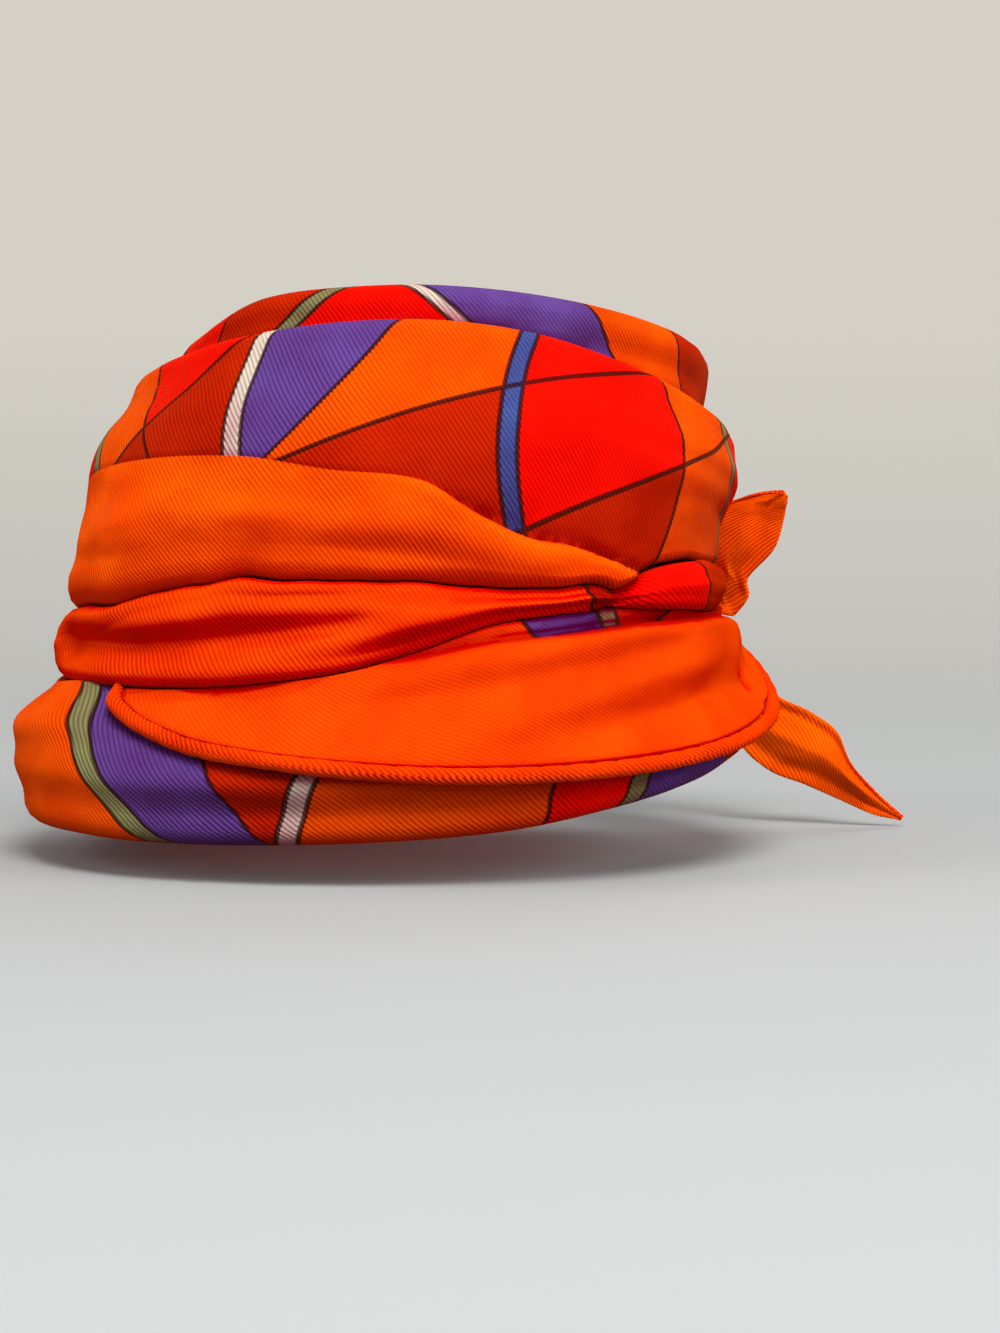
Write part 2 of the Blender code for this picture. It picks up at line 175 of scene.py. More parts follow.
BORDER_PLEAT = rows_of(
    Section,
    (-236, -1.6, -7.4, 51.8, 52.6, 52.6, 51.8),
    (-218, -3.6, -11.6, 53, 54.8, 54.8, 53.2),
    (-180, -5.6, -19, 56.5, 60, 60.5, 57.5),
    (-135, -6.2, -18.6, 57.5, 61.5, 61.5, 58),
    (-105, -6.4, -18, 61.8, 62, 62, 61.8),
    (-82, -5.7, -17.7, 62, 62.2, 62.2, 62),
    (-62, -3.4, -17.6, 61, 61.6, 61.8, 61.4),
    (-42, -1.2, -17.4, 58.9, 60.8, 61, 60),
    (-25, 0, -16.1, 58, 60, 60.4, 59.2),
    (-10, 0.3, -13.8, 56.5, 59.5, 60, 57.2),
    (3, 0.1, -10.3, 56.4, 58.8, 59.2, 57),
    (14, -0.6, -6.6, 56.4, 57.8, 57.8, 56.4),
    (24, -0.8, -5.3, 56.8, 57.8, 57.8, 56.6),
    (31, -0.4, -4.7, 57.6, 58.4, 58.2, 57.2),
    (34.5, -1.3, -3.9, 57.2, 57.4, 57.4, 57),
    (36, -2.2, -3.2, 56.4, 56.4, 56.4, 56.4),
)

SIDE_FOLD = rows_of(
    Section,
    (31, -1.4, -4.2, 55.4, 55.8, 55.6, 55.4),
    (35, -1, -4.3, 56.4, 57, 56.8, 56.4),
    (39, 0.4, -4.5, 58.1, 58.3, 58.3, 58.1),
    (44, 2.2, -4.7, 59.3, 59.7, 59.6, 59.3),
    (52, 3, -4.9, 59.7, 60.2, 60, 59.6),
    (61, 2.8, -5.1, 57.5, 57.9, 57.8, 57.4),
    (72, 2.2, -5.3, 54.9, 55.3, 55.2, 54.8),
    (86, 1.4, -5.2, 53.2, 53.5, 53.4, 53.1),
    (102, 0.6, -5, 52.6, 53, 53, 52.6),
    (122.5, -1.3, -6.9, 52, 52.6, 52.6, 52),
)

BORDER_FLAP = rows_of(  # its top comes out from under the folds above
    Section,
    (-50, None, -18.5, 58.8, 59.2, 59.9, 60.4),
    (-47, None, -19.4, 58.4, 59, 60, 60.8),
    (-44, None, -20.8, 58, 59, 60.1, 61.2),
    (-38, None, -22.6, 57.4, 58.6, 60.4, 61.8),
    (-30, None, -24.5, 57, 59.2, 61.4, 63),
    (-20, None, -25.8, 56.6, 59, 61.6, 64),
    (-10, None, -26.9, 56.4, 58.8, 61.6, 64.5),
    (3, None, -27.9, 56.2, 58.6, 61.4, 64.7),
    (14, None, -28.2, 56, 58.4, 61.2, 64.7),
    (26, None, -28, 56, 58.4, 61, 64.7),
    (40, None, -27.2, 56.8, 58.4, 60.8, 64.6),
    (52, None, -26, 57, 58.2, 60.4, 64.4),
    (63, None, -24.4, 56.2, 57.6, 59.2, 64),
    (74, None, -22.2, 54.8, 56.6, 57.8, 63.4),
    (83, None, -19.6, 53.4, 55, 56.8, 62),
    (91, None, -16, 53, 54.2, 55.8, 59.8),
    (99, None, -12.8, 53.2, 54.2, 55.4, 57.8),
    (109, None, -10.2, 53.4, 54.4, 55.2, 56),
    (119, None, -9, 53, 53.6, 54.2, 54.8),
)

BASE_TURN = rows_of(
    Section,
    (-180, -19.6, -38, 56, 60.5, 61.5, 59.5),
    (-150, -19.3, -40.5, 57, 62.5, 63.5, 61.5),
    (-115, -17, -41.3, 60, 66, 65.8, 63.4),
    (-82, -17.9, -41.2, 60.9, 67.3, 66.9, 64.2),
    (-62, -16.9, -41.2, 60, 66.3, 66.2, 64),
    (-42, -19, -41.4, 55, 61.6, 65, 63),
    (-20, -19, -41, 54, 60.4, 63.8, 61.2),
    (0, -19, -40.2, 54, 60, 63.2, 60.6),
    (20, -18.5, -38.8, 54, 59.6, 63, 60.4),
    (37, -17.5, -36.4, 54, 58.6, 62.6, 60.2),
    (55, -16, -33.8, 53.6, 57.2, 61.8, 60),
    (75, -14, -31, 52.6, 56, 61, 60),
    (95, -11.5, -28.6, 52, 55.6, 60.8, 60.4),
    (120, -9.6, -26.8, 52.6, 57, 60.6, 60.4),
    (145, -12.6, -29.6, 54, 59, 60.8, 60),
)

OUTER_FOLDS = rows_of(
    FoldSize,
    (-180, 2.6, 3.4),
    (-90, 2.6, 5.5),
    (-50, 2.6, 7.5),
    (-20, 2.6, 5.5),
    (5, 2.6, 3),
    (30, 2.6, 1.6),
    (60, 2.6, 1.4),
    (95, 2.6, 2.4),
    (180, 2.6, 3.4),
)

PLEAT_FOLDS = rows_of(
    FoldSize,
    (-236, 2.2, 2.2),
    (-90, 4.8, 4.8),
    (-66, 3.8, 4.2),
    (-50, 2.6, 3.8),
    (-25, 1.9, 2.8),
    (0, 1.4, 1.8),
    (36, 1.2, 1.2),
)

# The plain border starts here on the outer turn. From the nape to the knot side it is turned over.
OUTER_BORDER = rows_of(
    TurnedEdge,
    (-180, 0, 0),
    (-135, 8, 0),
    (-108, 12.5, 0),
    (-82, 16.5, 0),
    (-56, 19.5, 0),
    (-31, 20.1, 0),
    (-14, 17.8, 0),
    (0, 16.2, 0.7),
    (9, 11.2, 1.9),
    (18, 7.2, 2.4),
    (26, 5.8, 2.5),
    (39, 1.6, 2.1),
    (52, -4, 0.6),
    (90, -10, 0),
    (140, -10, 0),
)

# The flap's upper edge, turned over in front of a printed layer.
FLAP_BORDER = rows_of(
    TurnedEdge,
    (-38, -17, 0),
    (-20, -15.2, 0),
    (-8, -13, 0.6),
    (2, -11.6, 1.4),
    (12, -9.6, 2),
    (25, -8.3, 2.4),
    (37, -7.1, 2.4),
    (56, -6, 2.2),
    (70, -6.4, 2),
    (84, -7.2, 1.9),
    (100, -7.8, 1.2),
    (119, -8.2, 0),
)

HEM_START = rows_of(  # it comes out from between the pleat and the base turn
    Place,
    (-57, 54.6, -13.8),
    (-54.5, 56.4, -15.8),
    (-52, 58.5, -18.1),
)

TAIL_UPPER_ROOT = ((0.35, 0.40, 0.80), (0.95, 0.30, -0.35))
TAIL_UPPER = rows_of(
    TailSection,
    ((52.8, 40, -1), (57.4, 36.8, -8.6), 1.2),
    ((52.6, 39.4, 2), (59.8, 34.6, -5), 1.8),
    ((52.4, 38.5, 5), (59.7, 33.2, -1.4), 2.2),
    ((52.8, 36.5, 9.4), (64.4, 30, 4), 2.8),
    ((55.6, 34, 12.6), (66, 28.6, 9.6), 2.2),
    ((61, 31, 14.2), (66.3, 27.9, 12.4), 1),
    ((65.8, 28.2, 14.5), (66.4, 27.8, 14), 0.1),
)

TAIL_LOWER_ROOT = ((0.85, 0.35, -0.45), (0.15, 0.40, -0.92))
TAIL_LOWER = rows_of(
    TailSection,
    ((58.6, 37.4, -13), (53.6, 42.4, -20.4), 1.4),
    ((64.6, 35.2, -22.2), (58, 39.6, -31.4), 1.8),
    ((71.8, 33.4, -26), (63.8, 36.6, -37.2), 2.2),
    ((76.6, 32.4, -29.6), (70.8, 34.8, -40), 2.4),
    ((79.2, 32.2, -35.4), (77.4, 33.6, -42.8), 2.2),
    ((84, 32.4, -41.2), (83, 33.4, -45.2), 1.2),
    ((88.8, 32.6, -46), (88.6, 33, -46.4), 0.1),
)

KNOT_AZIMUTH = 138.0
KNOT_RADIUS = 61.8
KNOT_HEIGHT = -2.8
KNOT_HALF = (11.6, 8.4, 12.2)  # along the band, out from the neck, and up
KNOT_FULLNESS = 0.85
KNOT_CLOTH = (64, 34)  # cloth round the knot, and over it
KNOT_SLANT = 0.35  # of its waist, against upright
WAIST_DEPTH = 0.16  # these are shares of the knot's half sizes
WAIST_WIDTH = 0.42
FURROWS = 4.5  # for each radian of the fan on either side of the waist
FURROW_DEPTH = 0.085
KNOT_PULL = 5.5  # how far the band rises towards the knot
PULL_RAISED = 2.0
PULL_WIDE = 15.0
PULL_TALL = 7.5
STRAP_WALL = 0.9
STRAP_BACK = 17  # half the crossing turn's width in degrees, behind
STRAP_FRONT = 38  # and in front
STRAP_CLOTH = (11, 7)  # millimetres of cloth for each radian round it, and for half its width
STRAP_SLANT = 0.42
STRAP_PLEATS = 1.9  # in half its width
STRAP_EDGE = 0.86  # its edges lie this close to the knot, and its middle at 1
STRAP_PLEAT = 0.05
TAIL_WALL = 0.8
TAIL_CLOTH = 46
TAIL_START = 0.6  # rows of its table before the first one, for the way out of the knot
TAIL_HEM = rows_of(Ridge, (0.7, 0.04, 0.05), (-0.5, 0.15, 0.04))  # across its width, from 0 to 1
TAIL_VALLEY = Ridge(-0.9, 0.30, 0.10)  # from the crest
TAIL_CREST = 0.42

OUTER_CREASES = [
    crease(-0.5, 3, (-70, 8), (-40, 11), (0, 8), (30, 1)),
    crease(0.7, 2.6, (-95, 3), (-60, 3), (-25, 4.5), (10, 4)),
    crease(0.5, 2, (28, 26), (50, 20), (75, 15), (100, 8)),
    crease(0.4, 1.6, (60, 12), (80, 9), (110, 4)),
    crease(0.35, 2.4, (-90, 27), (-60, 30), (-30, 31)),
    crease(0.8, 1.8, (112, 7), (130, 4), (160, 6)),
    crease(0.7, 1.6, (-180, 6), (-150, 8), (-110, 12)),
]

PLEAT_CREASES = [
    crease(3.8, 3.3, (-84, -11.2), (-62, -11), (-45, -10.4), (-25, -8.6), (2, -5.4)),
    crease(0.5, 0.8, (-34, -1.8), (-26, -2.2), (-18, -2.2), (-6, -2)),
    crease(0.5, 1.4, (-225, -6), (-190, -11), (-150, -13), (-120, -12)),
]

FLAP_CREASES = [
    crease(-0.8, 3.2, (-4, -25), (20, -21), (42, -15), (64, -12)),
    crease(0.8, 2.6, (-38, -20), (-14, -20), (8, -17), (30, -13), (54, -10)),
    crease(0.5, 2.4, (24, -25.5), (48, -20.5), (64, -16.5)),
]

FLAP_DENTS = rows_of(  # the flap turns back on itself at its right end
    Dent,
    (68, -14, 2.6, 6, -0.6),
    (76, -14, 2.2, 5, 2),
    (76.6, -18, 2.3, 2.2, 3.2),
)

BASE_CREASES = [
    crease(0.7, 2.6, (-120, -30), (-88, -29), (-66, -27), (-48, -25)),
    crease(0.35, 2.6, (-70, -36), (-40, -34), (-5, -36)),
    crease(0.35, 2, (-12, -33.5), (25, -33), (58, -29)),
    crease(1, 1.8, (70, -24), (100, -20), (128, -17)),
    crease(1.2, 2, (-178, -28), (-150, -31), (-118, -31)),
]

INNER_CREASES = [
    crease(0.5, 1.6, (20, 40), (50, 36), (80, 31)),
    crease(0.4, 1.4, (-80, 36), (-40, 42), (-5, 43)),
]

ORANGE = (0.93, 0.088, 0.001)
# The flap's orange: a darker, redder copy of the plain orange, as painted shade.
SHADED_FLAP_ORANGE = (0.66, 0.048, 0.001)
# The tails' orange: a brighter copy of the plain orange, as painted light.
LIT_TAIL_ORANGE = (1.0, 0.115, 0.001)
# The pleat's orange: a darker, redder copy of the plain orange, as painted shade.
SHADED_PLEAT_ORANGE = (0.80, 0.055, 0.001)
PANEL_ORANGE = (0.76, 0.070, 0.001)
RUST = (0.43, 0.014, 0.001)
RED = (0.80, 0.004, 0.001)
PURPLE = (0.098, 0.045, 0.235)
BLUE = (0.045, 0.070, 0.25)
SAGE = (0.185, 0.195, 0.080)
CREAM = (0.55, 0.46, 0.40)
INK = (0.020, 0.004, 0.003)

# Tint of the sheen, and what the colour is multiplied by for painted shade deep in a fold and for painted
# shade between the ribs.
PLAIN = Finish(gloss=(1.0, 0.22, 0.0), depth=(0.70, 0.02, 0.2), groove=(0.62, 0.13, 0.40))
PRINTED = Finish(gloss=(1.0, 0.38, 0.10), depth=(0.66, 0.24, 0.38), groove=(0.62, 0.34, 0.46))
SHEEN = 0.09
SHEEN_ROUGHNESS = 0.35
RIB_DEPTH = 0.00016  # metres, at a relief of 1
STITCH_LENGTH = 1.15
STITCH_STAGGER = 0.37  # of a stitch, from rib to rib
THREAD_HEIGHT = 0.12  # against the height of a rib
BOW_HEIGHT = 20.0  # a bowed line is off by its bow this far down the cloth
RAGGED = 0.22  # outlines step from rib to rib by this much

BLACK = (0.0, 0.0, 0.0)
WALL_GLOW = (0.66, 0.63, 0.565)
FLOOR_PAPER = (0.33, 0.345, 0.35)

# The stage, in metres.
FLOOR = -0.0475
FLOOR_NEAR = -3.0
FLOOR_FAR = 0.5
FLOOR_SIDE = 4.0
SWEEP = 1.6
WALL_RISE = 2.0
SWEEP_START = 0.4  # share of the backdrop that is flat floor
SWEEP_END = 0.8  # and where the wall starts

CAMERA_DISTANCE = 0.55
CAMERA_ELEVATION = 3
CAMERA_AIM = (0.014, 0, -0.016)
SENSOR = 36
PHOTO_HEIGHT = 1333
PIXEL = 0.000175  # one pixel of the photograph at the neck's axis

LAMPS = rows_of(
    Lamp,
    ("window light", (0.12, -0.8, 0.95), 0.6, 18, (1.0, 0.98, 0.96)),
    ("side light", (1.0, -0.6, 0.45), 0.7, 9, (1.0, 0.97, 0.94)),
    ("far side light", (-1.0, -0.4, 0.5), 0.7, 5, (1.0, 0.98, 0.96)),
    ("back light", (0.3, 0.9, 0.8), 0.6, 3.5, (1.0, 1.0, 1.0)),
)
SKY_ABOVE = (0.95, 0.94, 0.92)
SKY_BELOW = (0.62, 0.61, 0.60)
SKY_STRENGTH = 0.52

OUTER_PANELS = rows_of(
    Panel,
    (-158, 0.3, 2, PANEL_ORANGE),
    (-128, -0.4, -3, PURPLE),
    (-104, 0.4, 2, RED),
    (-82, 0.5, 3, SAGE),
    (-78, 0.5, 3, PANEL_ORANGE),
    (-60, 0.45, 4, RED),
    (-40, -1.5, 0, RUST),
    (-34, -0.2, 5, CREAM),
    (-30.6, -0.2, 5, PURPLE),
    (-9, -0.75, -3, PANEL_ORANGE),
    (34, -3.1, 3, RUST),
    (14, -0.35, 5, BLUE),
    (17.2, -0.35, 5, RED),
    (70, -2.1, 4, RUST),
    (46, 0.35, -6, PANEL_ORANGE),
    (66, 0.6, -4, SAGE),
    (70, 0.6, -4, RED),
    (102, 0.2, 4, PANEL_ORANGE),
    (132, -0.3, 3, RUST),
)

INNER_PANELS = rows_of(
    Panel,
    (-150, 0.4, 0, PANEL_ORANGE),
    (-112, -0.5, 0, RUST),
    (-74, -1.2, 0, RED),
    (-52, -1, 0, RUST),
    (-30, -1.4, 0, SAGE),
    (-25, -1.4, 0, RED),
    (-2, 1.6, 0, CREAM),
    (2, 1.6, 0, PURPLE),
    (34, 0.8, 0, PANEL_ORANGE),
    (58, 0.5, 0, RUST),
    (88, -0.4, 0, RED),
)

BASE_PANELS = rows_of(
    Panel,
    (-156, 0.6, 2, PURPLE),
    (-126, -0.5, 2, PANEL_ORANGE),
    (-104, 0.5, 6, RED),
    (-96, 0.7, -6, BLUE),
    (-91, 0.7, -6, PANEL_ORANGE),
    (-62, 0.9, 2, SAGE),
    (-57, 0.9, 2, PURPLE),
    (-32, 0.4, 4, RUST),
    (-8, -0.6, 4, CREAM),
    (-4.6, -0.6, 4, PANEL_ORANGE),
    (22, 0.3, -3, RED),
    (44, -0.4, 2, SAGE),
    (48, -0.4, 2, PURPLE),
    (70, -0.3, 2, RUST),
    (104, 0.4, 2, PANEL_ORANGE),
    (136, 0.2, 0, RUST),
)

FLAP_PANELS = rows_of(
    Panel,
    (19, 0.8, 0, PURPLE),
    (32, 0.5, 0, SAGE),
    (35.4, 0.5, 0, RUST),
    (48, -1.5, 0, RED),
)


def place(azimuth, radius, height):
    """The point at this azimuth, this far from the leaning axis of the neck, in metres."""
    angle = math.radians(azimuth)
    x = LEAN_X * height + radius * math.sin(angle)
    y = LEAN_Y * height - radius * math.cos(angle)
    return Vector((x, y, height)) * MM


def smoothstep(value):
    held = min(max(value, 0.0), 1.0)
    return held * held * (3 - 2 * held)


def smooth_between(places, values, at):
    """Cubic through the middle two of four values, with the slopes that the outer two give."""
    span = places[2] - places[1]
    start_slope = (values[2] - values[0]) / (places[2] - places[0])
    end_slope = (values[3] - values[1]) / (places[3] - places[1])
    t = (at - places[1]) / span
    keep = 2 * t**3 - 3 * t**2 + 1
    rise = (t**3 - 2 * t**2 + t) * span * start_slope
    fall = (t**3 - t**2) * span * end_slope
    return keep * values[1] + (1 - keep) * values[2] + rise + fall


def bracket(table, azimuth, closed):
    """Four rows round this azimuth, as (azimuth, row) pairs: two before it and two after."""
    rows = [(row.azimuth, row) for row in table]
    if closed:
        before = [(spot - 360, row) for spot, row in rows]
        after = [(spot + 360, row) for spot, row in rows]
        rows = before + rows + after
    else:
        rows = [rows[0], *rows, rows[-1]]
    last = len(rows) - 3
    first = bisect.bisect_right([spot for spot, _ in rows], azimuth) - 1
    first = min(max(first, 1), last)
    return rows[first - 1 : first + 3]


def row_at(table, azimuth, closed):
    """The row of a table that belongs at this azimuth, between the rows that it lists."""
    pairs = bracket(table, azimuth, closed)
    places = [spot for spot, _ in pairs]
    values = []
    for column in zip(*(row for _, row in pairs)):
        values.append(None if None in column else smooth_between(places, column, azimuth))
    return type(table[0])(*values)


def ripple(azimuth, height, size, stretch, seed):
    """Unevenness from -1 to 1, in patches of this size, that closes on itself round the neck."""
    angle = math.radians(azimuth)
    reach = CLOTH_RADIUS / size
    spot = (reach * math.sin(angle), reach * math.cos(angle), height / size * stretch + seed)
    return noise.noise(Vector(spot))


def waves_at(waves, azimuth, height, seed=0):
    """All of these waves together, at this place."""
    lift = 0.0
    for wave in waves:
        lift += wave.depth * ripple(azimuth, height, wave.size, wave.stretch, seed + wave.seed)
    return lift


def fold_sizes(table, azimuth):
    """Radius of the folded edges at top and foot, straight between the rows of the table."""
    before = [row for row in table if row.azimuth <= azimuth] or table[:1]
    after = [row for row in table if row.azimuth > azimuth] or table[-1:]
    start = before[-1]
    end = after[0]
    share = 0.0
    if end.azimuth > start.azimuth:
        share = smoothstep((azimuth - start.azimuth) / (end.azimuth - start.azimuth))
    top = start.top + (end.top - start.top) * share
    foot = start.foot + (end.foot - start.foot) * share
    return FoldSize(azimuth, top, foot)


def fold_row(table, azimuth):
    """A row of the folds along the middle, whose edges waver a little as soft cloth does."""
    row = row_at(table, azimuth, False)
    rise = waves_at(TOP_WAVES, azimuth, 0)
    for swell in FOLD_SWELLS:
        rise += swell.height * smoothstep(1 - abs(azimuth - swell.azimuth) / swell.wide)
    return row._replace(top=row.top + rise, foot=row.foot + waves_at(FOOT_WAVES, azimuth, 0))


def fold_heights(azimuth):
    """Top and foot of the folds that run along the middle of the band at this azimuth."""
    heights = []
    for table in (BORDER_PLEAT, SIDE_FOLD):
        for turned in (azimuth, azimuth - 360):
            held = min(max(turned, table[0].azimuth), table[-1].azimuth)
            if abs(turned - held) < NEAR:
                row = fold_row(table, held)
                heights.append((row.top, row.foot))
    return max(top for top, _ in heights), min(foot for _, foot in heights)


def fitted_row(table, azimuth, closed):
    """The section here, with a top or foot that the table leaves open set against the folds."""
    if table in (BORDER_PLEAT, SIDE_FOLD):
        return fold_row(table, azimuth)
    row = row_at(table, azimuth, closed)
    if row.foot is None:
        top, _ = fold_heights(azimuth)
        row = row._replace(foot=top + GAP)
    if row.top is None:
        _, foot = fold_heights(azimuth)
        row = row._replace(top=foot - GAP)
    return row


def four_round(at, last):
    """Numbers of the four rows round this place in a table, held at its ends, and their places."""
    first = min(int(at), last - 1)
    ends = (max(first - 1, 0), first, first + 1, min(first + 2, last))
    return ends, (first - 1, first, first + 1, first + 2)


def face_radius(row, share):
    """Radius of the open face at this share of its height, from 0 at the top to 1 at the foot."""
    radii = (row.r_top, row.r_upper, row.r_lower, row.r_foot)
    ends, places = four_round(share * 3, 3)
    return smooth_between(places, [radii[i] for i in ends], share * 3)


def face_shares(count, above, edge_share, height):
    """Shares down the open face, closer together just below a turned edge."""
    if edge_share is None:
        return [step / count for step in range(count + 1)]
    scale = min(1.0, height / EDGE_ROOM) / height
    fine = [edge_share + step * scale for step in EDGE_STEPS]
    rest = count - above - len(fine)
    shares = [edge_share * step / above for step in range(above + 1)] + fine
    shares += [fine[-1] + (1 - fine[-1]) * step / rest for step in range(1, rest + 1)]
    return shares


def turned_offset(below, proud):
    """How far a turned edge lifts the cloth, this many millimetres below the edge."""
    if below < 0:
        return -TUCK * proud * math.exp(-((below / TUCK_REACH) ** 2))
    if below < EDGE_ROUND:
        return proud * math.sqrt(1 - (1 - below / EDGE_ROUND) ** 2)
    return proud * (1 - smoothstep((below - EDGE_ROUND) / EDGE_SPREAD))


def creases_here(creases, azimuth):
    """(height, depth, width) of each crease that runs past this azimuth, faded out at its ends."""
    found = []
    for line in creases:
        start = azimuth - line.spots[0].azimuth
        end = line.spots[-1].azimuth - azimuth
        if start > 0 and end > 0:
            fade = smoothstep(start / CREASE_FADE) * smoothstep(end / CREASE_FADE)
            found.append((row_at(line.spots, azimuth, False).height, line.depth * fade, line.width))
    return found


def soft_creases(found, height):
    return -sum(depth * math.exp(-(((height - middle) / width) ** 2)) for middle, depth, width in found)


def soft_dents(dents, azimuth, height):
    lift = 0.0
    for dent in dents:
        away = ((azimuth - dent.azimuth) / dent.wide) ** 2 + ((height - dent.height) / dent.tall) ** 2
        lift -= dent.depth * math.exp(-away)
    return lift


def from_knot(azimuth):
    """Degrees from the knot, from -180 to 180."""
    return (azimuth - KNOT_AZIMUTH + 180) % 360 - 180


def gathered(gather, azimuth, share):
    """Small pleats that run into the knot."""
    near = smoothstep(1 - abs(from_knot(azimuth)) / gather.reach)
    wander = GATHER_WANDER * ripple(azimuth, share * 20, 9, 1, 21.0)
    pleat = abs(math.sin(math.pi * (gather.ridges * share + wander)))
    return gather.depth * near * (pleat - PLEAT_LEVEL)


def pulled_out(azimuth, height):
    """The band rises to meet the knot that is tied in it."""
    beside = from_knot(azimuth) / PULL_WIDE
    above = (height - KNOT_HEIGHT - PULL_RAISED) / PULL_TALL
    return KNOT_PULL * math.exp(-(beside**2) - above**2)


def shaped_grid(name, table):
    """A grid whose vertices lie at the points in table[column][row], with their places on the cloth."""
    columns = len(table) - 1
    rows = len(table[0]) - 1
    bpy.ops.mesh.primitive_grid_add(x_subdivisions=columns, y_subdivisions=rows, size=2)
    sheet = bpy.context.object
    sheet.name = name
    data = sheet.data
    data.name = name
    data.uv_layers[0].name = CLOTH_MAP
    border = data.attributes.new(BORDER, "FLOAT", "POINT")
    spots = {}
    for vertex in data.vertices:
        column = round((vertex.co.x + 1) / 2 * columns)
        row = round((1 - vertex.co.y) / 2 * rows)
        point, along, down, below = table[column][row]
        spots[vertex.index] = (along, down)
        vertex.co = point
        border.data[vertex.index].value = below
    layer = data.uv_layers[CLOTH_MAP]
    for loop in data.loops:
        layer.data[loop.index].uv = spots[loop.vertex_index]
    return sheet


def close_ring(sheet):
    """Joins vertices that lie on each other, such as the two ends of a whole turn."""
    bpy.context.view_layer.objects.active = sheet
    bpy.ops.object.mode_set(mode="EDIT")
    bpy.ops.mesh.select_all(action="SELECT")
    bpy.ops.mesh.remove_doubles(threshold=MERGE)
    bpy.ops.object.mode_set(mode="OBJECT")


def thicken(sheet, wall, levels=0):
    """Gives a sheet its thickness on the inside, and rounds its edges."""
    bpy.context.view_layer.objects.active = sheet
    thickness = sheet.modifiers.new("cloth thickness", "SOLIDIFY")
    thickness.thickness = wall * MM
    thickness.offset = -1
    bpy.ops.object.modifier_apply(modifier=thickness.name)
    if levels:
        rounding = sheet.modifiers.new("rounded edges", "SUBSURF")
        rounding.levels = levels
        rounding.render_levels = levels
        bpy.ops.object.modifier_apply(modifier=rounding.name)
    bpy.ops.object.shade_smooth()
    sheet.select_set(False)


def face_ends(row, folds):
    """Top and foot of the open face, and the radii of the folded edges above and below it."""
    tall = row.top - row.foot
    crown = min(folds.top, tall * FOLD_SHARE)
    heel = min(folds.foot, tall * FOLD_SHARE)
    return row.top - crown, row.foot + heel, crown, heel


def wall_column(row, folds, shares):
    """(radius, height, millimetres down the cloth, share of the relief, share of the face) of a column."""
    high, low, crown, heel = face_ends(row, folds)
    crown_deep = min(crown, FOLD_DEEP)
    heel_deep = min(heel, FOLD_DEEP)
    lip = min(LIP, (high - low) * LIP_SHARE)
    points = []
    if folds.top:
        for step in range(LIP_ROWS):
            up = lip * (step / LIP_ROWS - 1)
            points.append((row.r_top - 2 * crown_deep, high + up, up - math.pi * crown, 0.0, 0.0))
        for step in range(FOLD_ROWS):
            angle = math.pi * (1 - step / FOLD_ROWS)
            out = row.r_top - crown_deep + crown_deep * math.cos(angle)
            weight = (1 + math.cos(angle)) / 2
            points.append((out, high + crown * math.sin(angle), -angle * crown, weight, 0.0))
    else:
        points.append((row.r_top - SHELF, high, -SHELF, 0.0, 0.0))
    for share in shares:
        height = high + (low - high) * share
        points.append((face_radius(row, share), height, high - height, 1.0, share))
    if folds.foot:
        for step in range(1, FOLD_ROWS + 1):
            angle = math.pi * step / FOLD_ROWS
            out = row.r_foot - heel_deep + heel_deep * math.cos(angle)
            weight = (1 + math.cos(angle)) / 2
            points.append((out, low - heel * math.sin(angle), high - low + angle * heel, weight, 1.0))
        for step in range(1, LIP_ROWS + 1):
            up = lip * step / LIP_ROWS
            down = high - low + math.pi * heel + up
            points.append((row.r_foot - 2 * heel_deep, low + up, down, 0.0, 1.0))
    return points


def band(
    name,
    table,
    sizes,
    columns,
    rows,
    closed=True,
    creases=(),
    dents=(),
    edges=None,
    above=0,
    gather=None,
):
    """A length of the band round the neck, with its relief."""
    first = table[0].azimuth
    span = 360 if closed else table[-1].azimuth - first
    seed = len(name)
    grid = []
    for column in range(columns + 1):
        azimuth = first + span * column / columns
        row = fitted_row(table, azimuth, closed)
        edge = row_at(edges, azimuth, closed) if edges else None
        folds = fold_sizes(sizes, azimuth)
        high, low, _, _ = face_ends(row, folds)
        share = None
        if edge:
            share = min(max((high - edge.height) / (high - low), EDGE_HIGHEST), EDGE_LOWEST)
        shares = face_shares(rows, above, share, high - low)
        found = creases_here(creases, azimuth)
        cells = []
        for radius, height, down, weight, face in wall_column(row, folds, shares):
            lift = waves_at(CLOTH_WAVES, azimuth, height, seed)
            lift += soft_creases(found, height) + soft_dents(dents, azimuth, height)
            below = down - high + edge.height if edge else 0.0
            if edge:
                lift += turned_offset(below, edge.proud)
            if gather:
                lift += gathered(gather, azimuth, face) + pulled_out(azimuth, height)
            along = math.radians(azimuth) * CLOTH_RADIUS
            cells.append((place(azimuth, radius + lift * weight, height), along, down, below))
        grid.append(cells)
    sheet = shaped_grid(name, grid)
    if closed:
        close_ring(sheet)
    thicken(sheet, WALL)
    return sheet


def flap_point(azimuth, share):
    """A point of the flap's outer face, at this share of its height."""
    azimuth = min(max(azimuth, BORDER_FLAP[0].azimuth), BORDER_FLAP[-1].azimuth)
    row = fitted_row(BORDER_FLAP, azimuth, False)
    height = row.top + (row.foot - row.top) * share
    return place(azimuth, face_radius(row, share), height)


def hem_middle(azimuth):
    """Middle of the hem, just beyond the flap's edge."""
    along = (flap_point(azimuth + NEAR, 1) - flap_point(azimuth - NEAR, 1)).normalized()
    down = flap_point(azimuth, 1) - flap_point(azimuth, NEAR_EDGE)
    beyond = (down - along * down.dot(along)).normalized()
    inward = along.cross(beyond)
    reach = HEM_RADIUS + GAP / 2
    return flap_point(azimuth, 1) + (beyond * reach + inward * (WALL / 2 - HEM_PROUD)) * MM


